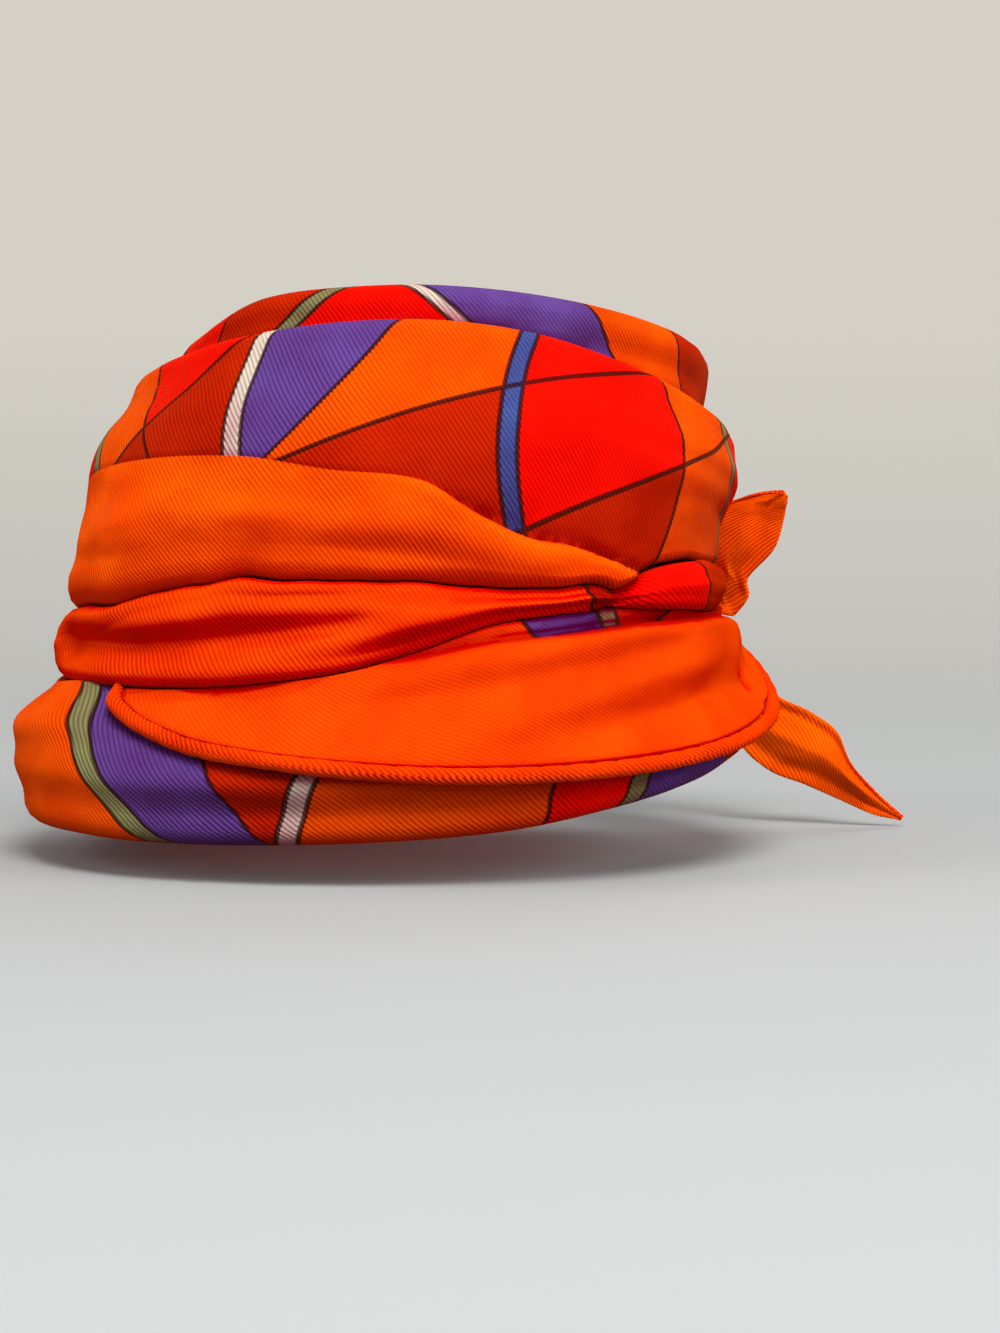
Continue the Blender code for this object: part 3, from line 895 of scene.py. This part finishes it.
def hem_path():
    """Middles of the hem, from where it comes out from under the pleat to its far end."""
    path = [place(spot.azimuth, spot.radius, spot.height) for spot in HEM_START]
    first = BORDER_FLAP[0].azimuth
    span = BORDER_FLAP[-1].azimuth - first
    for step in range(HEM_STEPS + 1):
        path.append(hem_middle(first + span * step / HEM_STEPS))
    for _ in range(HEM_SMOOTHING):
        middle = [(a + b * 2 + c) / 4 for a, b, c in zip(path, path[1:], path[2:])]
        path = [path[0], *middle, path[-1]]
    return path


def rolled_hem(name):
    """The hem, rolled by hand and stitched down, so that it is plump with small pinches."""
    path = hem_path()
    last = len(path) - 1
    grid = []
    travelled = 0.0
    for number, middle in enumerate(path):
        ahead = path[min(number + 1, last)]
        behind = path[max(number - 1, 0)]
        along = (ahead - behind).normalized()
        side = along.cross(Vector((0, 0, 1))).normalized()
        up = side.cross(along)
        if number:
            travelled += (middle - path[number - 1]).length / MM
        pinch = STITCH_PINCH * abs(math.cos(math.pi * travelled / STITCH_PITCH)) ** 6
        plump = 1 - pinch + 0.05 * noise.noise(Vector((travelled / 9, 0, 4)))
        closing = math.sqrt(smoothstep(min(number, last - number) / HEM_CLOSING))
        reach = HEM_RADIUS * plump * closing * MM
        cells = []
        for step in range(HEM_SIDES + 1):
            angle = 2 * math.pi * step / HEM_SIDES
            spot = middle + (side * math.cos(angle) + up * math.sin(angle)) * reach
            cells.append((spot, travelled, -angle * HEM_RADIUS, 0.0))
        grid.append(cells)
    hem = shaped_grid(name, grid)
    close_ring(hem)
    bpy.ops.object.shade_smooth()
    hem.select_set(False)
    return hem


def knot_axes():
    """Directions along the band to the nape, out from the neck, and up."""
    turn = math.radians(KNOT_AZIMUTH)
    along = Vector((-math.cos(turn), -math.sin(turn), 0))
    outward = Vector((math.sin(turn), -math.cos(turn), 0))
    return along, outward, Vector((0, 0, 1))


def knot_point(way, swell=1.0):
    """A point of the knot's plain form, from a unit vector on its three directions."""
    spot = place(KNOT_AZIMUTH, KNOT_RADIUS, KNOT_HEIGHT)
    for axis, half, part in zip(knot_axes(), KNOT_HALF, way):
        spot = spot + axis * (half * math.copysign(abs(part) ** KNOT_FULLNESS, part) * swell * MM)
    return spot


def knot_core(name):
    """The two turns under the crossing one, pulled in where it grips them."""
    bpy.ops.mesh.primitive_uv_sphere_add(segments=120, ring_count=80, radius=1)
    core = bpy.context.object
    core.name = name
    core.data.name = name
    for vertex in core.data.vertices:
        way = vertex.co.copy()
        across = way.x + KNOT_SLANT * way.z
        waist = WAIST_DEPTH * math.exp(-((across / WAIST_WIDTH) ** 2))
        fan = math.atan2(way.z, abs(across) + 0.25)
        pleat = abs(math.sin(fan * FURROWS + 1.4 * noise.noise(way * 1.7)))
        furrow = FURROW_DEPTH * (1 - pleat) * smoothstep(abs(across) * 1.8)
        dent = 0.05 * noise.noise(way * 2.3 + Vector((4, 1, 2)))
        vertex.co = knot_point(way, 1 - waist - furrow + dent - 0.02)
    finish_lump(core)
    return core


def finish_lump(piece):
    """Cloth coordinates round a lump, and smooth shading."""
    data = piece.data
    data.uv_layers[0].name = CLOTH_MAP
    layer = data.uv_layers[CLOTH_MAP]
    for loop in data.loops:
        u, v = layer.data[loop.index].uv
        layer.data[loop.index].uv = (u * KNOT_CLOTH[0], v * KNOT_CLOTH[1])
    bpy.ops.object.shade_smooth()
    piece.select_set(False)


def knot_strap(name, columns=150, rows=34):
    """The turn that crosses over the knot, pleated lengthwise and narrower behind."""
    grid = []
    for column in range(columns + 1):
        angle = 2 * math.pi * column / columns
        front = (1 + math.cos(angle)) / 2
        half = math.radians(STRAP_BACK + (STRAP_FRONT - STRAP_BACK) * front)
        cells = []
        for row in range(rows + 1):
            across = 1 - 2 * row / rows
            slip = across * half
            lean = STRAP_SLANT * math.sin(angle) * math.cos(slip)
            way = Vector((math.sin(slip) - lean, math.cos(angle) * math.cos(slip), math.sin(angle)))
            way.normalize()
            wander = 0.5 * noise.noise(Vector((math.cos(angle) * 2, math.sin(angle) * 2, across)))
            pleat = abs(math.sin(math.pi * (across * STRAP_PLEATS + 0.3 + wander)))
            edge = smoothstep((1 - abs(across)) * 4.5)
            swell = STRAP_EDGE + (1 - STRAP_EDGE + STRAP_PLEAT * (pleat - PLEAT_LEVEL)) * edge
            swell += 0.02 * noise.noise(way * 3.1)
            cells.append((knot_point(way, swell), angle * STRAP_CLOTH[0], across * STRAP_CLOTH[1], 0.0))
        grid.append(cells)
    strap = shaped_grid(name, grid)
    close_ring(strap)
    thicken(strap, STRAP_WALL)
    return strap


def smooth_point(points, places, at):
    return Vector(smooth_between(places, values, at) for values in zip(*points))


def ridge_lift(ridge, at):
    return ridge.height * math.exp(-(((at - ridge.middle) / ridge.width) ** 2))


def tail_relief(name, along, across, bulge):
    """How far a tail stands out across its width, in millimetres: two facets, a hem and small folds."""
    crest = TAIL_CREST + 0.10 * math.sin(along * 5)
    facet = across / crest if across < crest else (1 - across) / (1 - crest)
    relief = sum(ridge_lift(ridge, across) for ridge in TAIL_HEM) + ridge_lift(TAIL_VALLEY, across - crest)
    relief += 0.8 * noise.noise(Vector((along * 4, across * 2.2, len(name))))
    relief += 0.3 * noise.noise(Vector((along * 11, across * 5, len(name) + 3)))
    return bulge * facet**1.25 + relief * smoothstep(along * 6)


def tail(name, root, table, columns=64, rows=20):
    """A pointed end of the band, from where it leaves the knot to its tip."""
    root_upper = Vector(root[0])
    root_lower = Vector(root[1])
    sections = []
    for row in range(rows + 1):
        way = root_upper.lerp(root_lower, row / rows).normalized()
        sections.append(knot_point(way, 1.02))
    grid = []
    for column in range(columns + 1):
        along = column / columns
        run = along * (len(table) - 1 + TAIL_START)
        at = max(run - TAIL_START, 0.0)
        ends, places = four_round(at, len(table) - 1)
        upper = smooth_point([table[i].upper for i in ends], places, at)
        lower = smooth_point([table[i].lower for i in ends], places, at)
        bulge = smooth_between(places, [table[i].bulge for i in ends], at)
        from_root = 1 - smoothstep(run / TAIL_START)
        width = (upper - lower).length
        cells = []
        for row in range(rows + 1):
            across = row / rows
            point = upper.lerp(lower, across)
            point.y -= tail_relief(name, along, across, bulge) * min(width / 6, 1.0)
            spot = (point * MM).lerp(sections[row], from_root)
            cells.append((spot, along * TAIL_CLOTH, across * width, 0.0))
        grid.append(cells)
    sheet = shaped_grid(name, grid)
    thicken(sheet, TAIL_WALL, levels=1)
    return sheet


def look_directions():
    """Directions to look in from a point whose normal is +Z, each with its weight."""
    looks = []
    for lean, count in LOOK_RINGS:
        tilt = math.radians(lean)
        for step in range(count):
            turn = 2 * math.pi * step / count + tilt
            way = Vector((math.sin(tilt) * math.cos(turn), math.sin(tilt) * math.sin(turn), math.cos(tilt)))
            looks.append((way, math.cos(tilt)))
    return looks


def mark_painted_shade(pieces):
    """Stores on each vertex how much nearby cloth stands round it and how far it faces down, for the
    painted shade in the folds and on undersides.
    """
    points = []
    faces = []
    for piece in pieces:
        first = len(points)
        points += [vertex.co.copy() for vertex in piece.data.vertices]
        faces += [[first + corner for corner in face.vertices] for face in piece.data.polygons]
    cloth = BVHTree.FromPolygons(points, faces)
    looks = look_directions()
    whole = sum(weight for _, weight in looks)
    up = Vector((0, 0, 1))
    reach = HOLLOW_REACH * MM
    for piece in pieces:
        marks = piece.data.attributes.new(PAINTED_SHADE, "FLOAT", "POINT")
        for vertex in piece.data.vertices:
            turn = up.rotation_difference(vertex.normal).to_matrix()
            start = vertex.co + vertex.normal * (HOLLOW_START * MM)
            shut = 0.0
            for way, weight in looks:
                toward = turn @ way
                dim = UNDERSIDE * max(-toward.z, 0.0)
                distance = cloth.ray_cast(start, toward, reach)[3]
                if distance is not None:
                    dim = max(dim, 1 - distance / reach)
                shut += weight * dim
            marks.data[vertex.index].value = shut / whole


def join_link(tree, socket, value):
    """Sets an input to a number or colour, or links it to another node's output."""
    if isinstance(value, bpy.types.NodeSocket):
        tree.links.new(value, socket)
    else:
        socket.default_value = value


def maths(tree, operation, *values):
    node = tree.nodes.new("ShaderNodeMath")
    node.operation = operation
    for socket, value in zip(node.inputs, values):
        join_link(tree, socket, value)
    return node.outputs[0]


def times(tree, first, second):
    return maths(tree, "MULTIPLY", first, second)


def plus(tree, first, second):
    return maths(tree, "ADD", first, second)


def minus(tree, first, second):
    return maths(tree, "SUBTRACT", first, second)


def spread(tree, value, low, high, to_low, to_high):
    """Maps low to high onto to_low to to_high, held at both ends."""
    node = tree.nodes.new("ShaderNodeMapRange")
    for socket, number in zip(node.inputs, (value, low, high, to_low, to_high)):
        join_link(tree, socket, number)
    return node.outputs[0]


def mixed(tree, share, first, second, way="MIX"):
    node = tree.nodes.new("ShaderNodeMix")
    node.data_type = "RGBA"
    node.blend_type = way
    for number, value in ((0, share), (6, first), (7, second)):
        join_link(tree, node.inputs[number], value)
    return node.outputs[2]


def attribute(tree, name):
    node = tree.nodes.new("ShaderNodeAttribute")
    node.attribute_name = name
    return node.outputs["Fac"]


def split(tree, vector):
    """X, Y and Z of a vector."""
    node = tree.nodes.new("ShaderNodeSeparateXYZ")
    tree.links.new(vector, node.inputs[0])
    return node.outputs


def use_group(tree, group, given):
    """A node of this group, with its inputs set or linked by their labels."""
    node = tree.nodes.new("ShaderNodeGroup")
    node.node_tree = group
    for label, value in given.items():
        join_link(tree, node.inputs[label], value)
    return node.outputs


def patches(tree, vector, scale, detail):
    node = tree.nodes.new("ShaderNodeTexNoise")
    for label, value in (("Vector", vector), ("Scale", scale), ("Detail", detail)):
        join_link(tree, node.inputs[label], value)
    return node.outputs["Fac"]


def flat_vector(tree, x, y):
    node = tree.nodes.new("ShaderNodeCombineXYZ")
    join_link(tree, node.inputs["X"], x)
    join_link(tree, node.inputs["Y"], y)
    return node.outputs[0]


def new_group(name, inputs, outputs):
    """A shader node group with these inputs, as (label, kind, value), and outputs, as (label, kind)."""
    group = bpy.data.node_groups.new(name, "ShaderNodeTree")
    for label, kind, value in inputs:
        socket = group.interface.new_socket(name=label, in_out="INPUT", socket_type=kind)
        socket.default_value = value
    for label, kind in outputs:
        group.interface.new_socket(name=label, in_out="OUTPUT", socket_type=kind)
    return group, group.nodes.new("NodeGroupInput").outputs, group.nodes.new("NodeGroupOutput").inputs


NUMBER = "NodeSocketFloat"
COLOUR = "NodeSocketColor"


def silk_twill_group():
    """Diagonal ribs of a silk twill, with their stitches, their wander and patches where they lie flat."""
    inputs = [("Along", NUMBER, 0.0), ("Down", NUMBER, 0.0), ("Pitch", NUMBER, 0.7), ("Lean", NUMBER, 0.65)]
    outputs = [("Rib", NUMBER), ("Height", NUMBER), ("Lustre", NUMBER)]
    tree, given, result = new_group("silk twill", inputs, outputs)
    along = given["Along"]
    down = given["Down"]
    cosine = maths(tree, "COSINE", given["Lean"])
    sine = maths(tree, "SINE", given["Lean"])
    across_ribs = minus(tree, times(tree, along, sine), times(tree, down, cosine))
    on_ribs = plus(tree, times(tree, along, cosine), times(tree, down, sine))
    cloth = flat_vector(tree, along, down)
    wander = times(tree, patches(tree, cloth, 0.03, 1.0), 3.0)
    phase = plus(tree, maths(tree, "DIVIDE", across_ribs, given["Pitch"]), wander)
    ridge = maths(tree, "ABSOLUTE", maths(tree, "SINE", times(tree, phase, math.pi)))
    stagger = times(tree, maths(tree, "FLOOR", phase), STITCH_STAGGER)
    stitch = plus(tree, maths(tree, "DIVIDE", on_ribs, STITCH_LENGTH), stagger)
    thread = maths(tree, "ABSOLUTE", maths(tree, "SINE", times(tree, stitch, math.pi)))
    flat = spread(tree, patches(tree, cloth, 0.045, 2.0), 0.36, 0.62, 0.5, 1.0)
    rib = minus(tree, 1.0, times(tree, minus(tree, 1.0, ridge), flat))
    tree.links.new(rib, result["Rib"])
    tree.links.new(plus(tree, rib, times(tree, thread, THREAD_HEIGHT)), result["Height"])
    tree.links.new(patches(tree, cloth, 0.07, 3.0), result["Lustre"])
    return tree


def painted_panel_group():
    """Paints one colour on from a leaning, bowed line onwards, and draws the dark line along it."""
    inputs = [
        ("Colour", COLOUR, (1, 1, 1, 1)),
        ("Outline", NUMBER, 0.0),
        ("Along", NUMBER, 0.0),
        ("Down", NUMBER, 0.0),
        ("Start", NUMBER, 0.0),
        ("Lean", NUMBER, 0.0),
        ("Bow", NUMBER, 0.0),
        ("Paint", COLOUR, (1, 1, 1, 1)),
        ("Half line", NUMBER, 0.36),
    ]
    tree, given, result = new_group("painted panel", inputs, [("Colour", COLOUR), ("Outline", NUMBER)])
    lean = times(tree, given["Down"], given["Lean"])
    slant = maths(tree, "SQRT", plus(tree, maths(tree, "POWER", given["Lean"], 2.0), 1.0))
    deep = maths(tree, "POWER", maths(tree, "DIVIDE", given["Down"], BOW_HEIGHT), 2.0)
    bow = times(tree, deep, given["Bow"])
    line = plus(tree, given["Start"], plus(tree, lean, bow))
    past = maths(tree, "DIVIDE", minus(tree, given["Along"], line), slant)
    side = spread(tree, past, -0.06, 0.06, 0.0, 1.0)
    away = minus(tree, maths(tree, "ABSOLUTE", past), given["Half line"])
    ink = spread(tree, away, -0.08, 0.1, 1.0, 0.0)
    tree.links.new(mixed(tree, side, given["Colour"], given["Paint"]), result["Colour"])
    tree.links.new(maths(tree, "MAXIMUM", given["Outline"], ink), result["Outline"])
    return tree


def opaque(colour):
    return (*colour, 1.0)


def paint_panels(tree, panels, ground, along, down):
    """The print: colour and dark outlines, as two outputs."""
    painted = {"Colour": opaque(ground), "Outline": 0.0}
    for panel in panels:
        given = {
            "Colour": painted["Colour"],
            "Outline": painted["Outline"],
            "Along": along,
            "Down": down,
            "Start": panel.start,
            "Lean": panel.lean,
            "Bow": panel.bow,
            "Paint": opaque(panel.colour),
        }
        painted = use_group(tree, painted_panel, given)
    return painted["Colour"], painted["Outline"]


def bordered(tree, colour, outline, plain_colour):
    """Adds the plain border below the turned edge, and a painted shadow on the print just above that edge.
    """
    below = attribute(tree, BORDER)
    plain = spread(tree, below, -0.12, 0.1, 0.0, 1.0)
    printed = minus(tree, 1.0, plain)
    # Painted shadow: the print just above the turned edge is darkened with the fold-shade tint.
    painted_edge_shadow = times(tree, spread(tree, below, -1.3, -0.1, 0.0, 0.75), printed)
    colour = mixed(tree, plain, colour, opaque(plain_colour))
    colour = mixed(tree, painted_edge_shadow, colour, opaque(PRINTED.depth), "MULTIPLY")
    return colour, times(tree, outline, printed)


def silk(
    name,
    finish,
    ground,
    panels=(),
    border=None,
    lean=0.72,
    pitch=0.70,
    relief=0.9,
    shade=(0.08, 0.30),
):
    """Silk twill, plain or printed. A border is the plain colour that starts at the turned edge."""
    material = bpy.data.materials.new(name)
    material.use_nodes = True
    tree = material.node_tree
    shader = tree.nodes["Principled BSDF"]
    cloth = tree.nodes.new("ShaderNodeUVMap")
    cloth.uv_map = CLOTH_MAP
    along, down, _ = split(tree, cloth.outputs["UV"])
    twill = use_group(tree, silk_twill, {"Along": along, "Down": down, "Pitch": pitch, "Lean": lean})
    rib = twill["Rib"]
    lustre = twill["Lustre"]
    ragged = plus(tree, along, times(tree, rib, RAGGED))
    colour, outline = paint_panels(tree, panels, ground, ragged, down)
    if border:
        colour, outline = bordered(tree, colour, outline, border)
    warm = mixed(tree, spread(tree, lustre, 0.35, 0.65, 0.0, 1.0), (0.88, 0.70, 0.74, 1), (1, 1.1, 1, 1))
    colour = mixed(tree, 1.0, colour, warm, "MULTIPLY")
    # Painted shade between the ribs: the colour is multiplied by the groove tint where a rib is low.
    groove = mixed(tree, min(relief, 1.0), colour, opaque(finish.groove), "MULTIPLY")
    colour = mixed(tree, rib, groove, colour)
    # Painted shade: the colour darkens and reddens towards the finish's depth tint where the cloth is shut
    # in by other cloth or faces down.
    deep = spread(tree, attribute(tree, PAINTED_SHADE), *shade, 0.0, 1.0)
    colour = mixed(tree, deep, colour, opaque(finish.depth), "MULTIPLY")
    inked = times(tree, outline, spread(tree, rib, 0.0, 1.0, 1.0, 0.86))
    tree.links.new(mixed(tree, inked, colour, opaque(INK)), shader.inputs["Base Color"])
    tree.links.new(spread(tree, lustre, 0.3, 0.7, 0.42, 0.58), shader.inputs["Roughness"])
    bump = tree.nodes.new("ShaderNodeBump")
    bump.inputs["Strength"].default_value = relief
    bump.inputs["Distance"].default_value = RIB_DEPTH
    tree.links.new(twill["Height"], bump.inputs["Height"])
    tree.links.new(bump.outputs["Normal"], shader.inputs["Normal"])
    shader.inputs["Specular IOR Level"].default_value = 0.0
    shader.inputs["Sheen Weight"].default_value = SHEEN
    shader.inputs["Sheen Roughness"].default_value = SHEEN_ROUGHNESS
    shader.inputs["Sheen Tint"].default_value = opaque(finish.gloss)
    return material


def dress(piece, material, node):
    """Finishes a piece: its material, the body it rides on, and the solid it stands for."""
    piece.data.materials.clear()
    piece.data.materials.append(material)
    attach(piece, "root")
    if node:
        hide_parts(node)


def add_camera():
    """The photograph's view of the nape, from half a metre away."""
    elevation = math.radians(CAMERA_ELEVATION)
    data = bpy.data.cameras.new("camera")
    data.sensor_width = SENSOR
    data.lens = CAMERA_DISTANCE * SENSOR / (PHOTO_HEIGHT * PIXEL)
    camera = bpy.data.objects.new("camera", data)
    bpy.context.scene.collection.objects.link(camera)
    back = Vector((0, -math.cos(elevation), math.sin(elevation)))
    camera.location = Vector(CAMERA_AIM) + back * CAMERA_DISTANCE
    camera.rotation_euler = (math.pi / 2 - elevation, 0, 0)
    bpy.context.scene.camera = camera


def add_lamp(lamp):
    """A round soft lamp that shines on the scarf."""
    data = bpy.data.lights.new(lamp.name, "AREA")
    data.shape = "DISK"
    data.size = lamp.size
    data.energy = lamp.power
    data.color = lamp.colour
    light = bpy.data.objects.new(lamp.name, data)
    bpy.context.scene.collection.objects.link(light)
    light.location = lamp.location
    light.rotation_euler = (-light.location).to_track_quat("-Z", "Y").to_euler()


def paper():
    """Pale paper: cool white where it lies flat, and an even warm grey where it rises."""
    material = bpy.data.materials.new("pale paper")
    material.use_nodes = True
    tree = material.node_tree
    shader = tree.nodes["Principled BSDF"]
    spot = tree.nodes.new("ShaderNodeTexCoord").outputs["Object"]
    rise = spread(tree, split(tree, spot)["Y"], 0.1, 1.2, 0.0, 1.0)
    tree.links.new(mixed(tree, rise, opaque(FLOOR_PAPER), opaque(BLACK)), shader.inputs["Base Color"])
    tree.links.new(mixed(tree, rise, opaque(BLACK), opaque(WALL_GLOW)), shader.inputs["Emission Color"])
    shader.inputs["Emission Strength"].default_value = 1.0
    shader.inputs["Roughness"].default_value = 0.9
    shader.inputs["Specular IOR Level"].default_value = 0.0
    return material


def add_backdrop():
    """A floor that curves up, in one sweep, into the wall behind."""
    bpy.ops.mesh.primitive_grid_add(x_subdivisions=8, y_subdivisions=90, size=2)
    backdrop = bpy.context.object
    backdrop.name = "backdrop"
    for vertex in backdrop.data.vertices:
        reach = (vertex.co.y + 1) / 2
        out = FLOOR_NEAR + (FLOOR_FAR - FLOOR_NEAR) * min(reach / SWEEP_START, 1)
        turn = min(max((reach - SWEEP_START) / (SWEEP_END - SWEEP_START), 0), 1) * math.pi / 2
        rise = max(reach - SWEEP_END, 0) / (1 - SWEEP_END) * WALL_RISE
        height = FLOOR + SWEEP * (1 - math.cos(turn)) + rise
        vertex.co = (vertex.co.x * FLOOR_SIDE, out + SWEEP * math.sin(turn), height)
    bpy.ops.object.shade_smooth()
    backdrop.select_set(False)
    backdrop.data.materials.append(paper())
    backdrop.visible_diffuse = False
    backdrop.visible_glossy = False


def add_sky():
    """Weak light from all round, weaker from below."""
    world = bpy.context.scene.world or bpy.data.worlds.new("studio")
    bpy.context.scene.world = world
    world.use_nodes = True
    tree = world.node_tree
    sky = tree.nodes["Background"]
    way = tree.nodes.new("ShaderNodeTexCoord").outputs["Generated"]
    upward = spread(tree, split(tree, way)["Z"], -0.3, 0.5, 0.0, 1.0)
    tree.links.new(mixed(tree, upward, opaque(SKY_BELOW), opaque(SKY_ABOVE)), sky.inputs["Color"])
    sky.inputs["Strength"].default_value = SKY_STRENGTH


def add_stage():
    """Backdrop, sky and soft lamps: the strongest is a window above the nape."""
    add_backdrop()
    add_sky()
    for lamp in LAMPS:
        add_lamp(lamp)


def add_turns():
    """The two turns round the neck, down to the first fold of the outer one."""
    inner_silk = silk("inner turn print", PRINTED, RUST, INNER_PANELS)
    inner = band("inner_turn_cloth", INNER_TURN, [FoldSize(0, 3.0, 0)], 300, 60, creases=INNER_CREASES)
    dress(inner, inner_silk, "inner_turn")

    outer_silk = silk(
        "outer turn print", PRINTED, RUST, OUTER_PANELS, border=ORANGE, lean=0.88, shade=(0.085, 0.25)
    )
    outer = band(
        "outer_turn_cloth",
        OUTER_TURN,
        OUTER_FOLDS,
        360,
        60,
        creases=OUTER_CREASES,
        edges=OUTER_BORDER,
        above=26,
        gather=Gather(50, 5, 1.6),
    )
    dress(outer, outer_silk, "outer_turn")
    return [inner, outer]


def add_folds():
    """The fold of plain border, and the short fold that runs into the knot."""
    pleat_silk = silk(
        "pleat silk", PLAIN, SHADED_PLEAT_ORANGE, [Panel(29.5, 0.5, 0, RUST)], lean=0.85, shade=(0.03, 0.23)
    )
    pleat = band(
        "border_pleat_cloth",
        BORDER_PLEAT,
        PLEAT_FOLDS,
        290,
        34,
        closed=False,
        creases=PLEAT_CREASES,
        gather=Gather(40, 3, 0.9),
    )
    dress(pleat, pleat_silk, "border_pleat")

    side_silk = silk("side fold print", PLAIN, RED, [Panel(53, 0.4, 0, RUST)])
    side = band("side_fold_cloth", SIDE_FOLD, [FoldSize(0, 2.3, 2.0)], 100, 22, closed=False)
    dress(side, side_silk, "side_fold")
    return [pleat, side]


def add_flap():
    """The free edge of the border, with its rolled hem."""
    hem_silk = silk("rolled hem silk", PLAIN, ORANGE, lean=0.75, pitch=0.74, relief=1.3, shade=(0.56, 1.12))
    hem = rolled_hem("rolled_hem_roll")
    dress(hem, hem_silk, "rolled_hem")

    flap_silk = silk(
        "flap silk",
        PLAIN,
        SHADED_FLAP_ORANGE,
        FLAP_PANELS,
        border=SHADED_FLAP_ORANGE,
        lean=0.62,
        pitch=0.52,
        relief=0.5,
        shade=(0.06, 0.25),
    )
    flap = band(
        "border_flap_cloth",
        BORDER_FLAP,
        [FoldSize(0, 0, 0)],
        170,
        48,
        closed=False,
        creases=FLAP_CREASES,
        dents=FLAP_DENTS,
        edges=FLAP_BORDER,
        above=6,
    )
    dress(flap, flap_silk, "border_flap")
    return [hem, flap]


def add_base():
    """The lower part of the first turn, flared under everything else."""
    base_silk = silk("base turn print", PRINTED, RUST, BASE_PANELS, shade=(0.14, 0.45))
    base = band(
        "base_turn_cloth",
        BASE_TURN,
        [FoldSize(0, 0, 4.2)],
        360,
        50,
        creases=BASE_CREASES,
        gather=Gather(48, 4, 1.5),
    )
    dress(base, base_silk, "base_turn")
    return [base]


def add_knot():
    """The knot, with the turn that crosses over it."""
    knot_silk = silk("knot silk", PLAIN, ORANGE, lean=0.4)
    core = knot_core("knot_core")
    dress(core, knot_silk, "knot")
    strap = knot_strap("knot_crossing")
    dress(strap, knot_silk, None)
    return [core, strap]


def add_tails():
    """The two pointed ends of the band."""
    tail_silk = silk("tail silk", PLAIN, LIT_TAIL_ORANGE, lean=0.5, shade=(0.50, 1.1))
    upper = tail("tail_upper_cloth", TAIL_UPPER_ROOT, TAIL_UPPER)
    dress(upper, tail_silk, "tail_upper")
    lower = tail("tail_lower_cloth", TAIL_LOWER_ROOT, TAIL_LOWER)
    dress(lower, tail_silk, "tail_lower")
    return [upper, lower]


silk_twill = silk_twill_group()
painted_panel = painted_panel_group()
add_camera()
add_stage()
bpy.context.scene.view_settings.view_transform = "Standard"
mark_painted_shade(add_turns() + add_folds() + add_flap() + add_base() + add_knot() + add_tails())
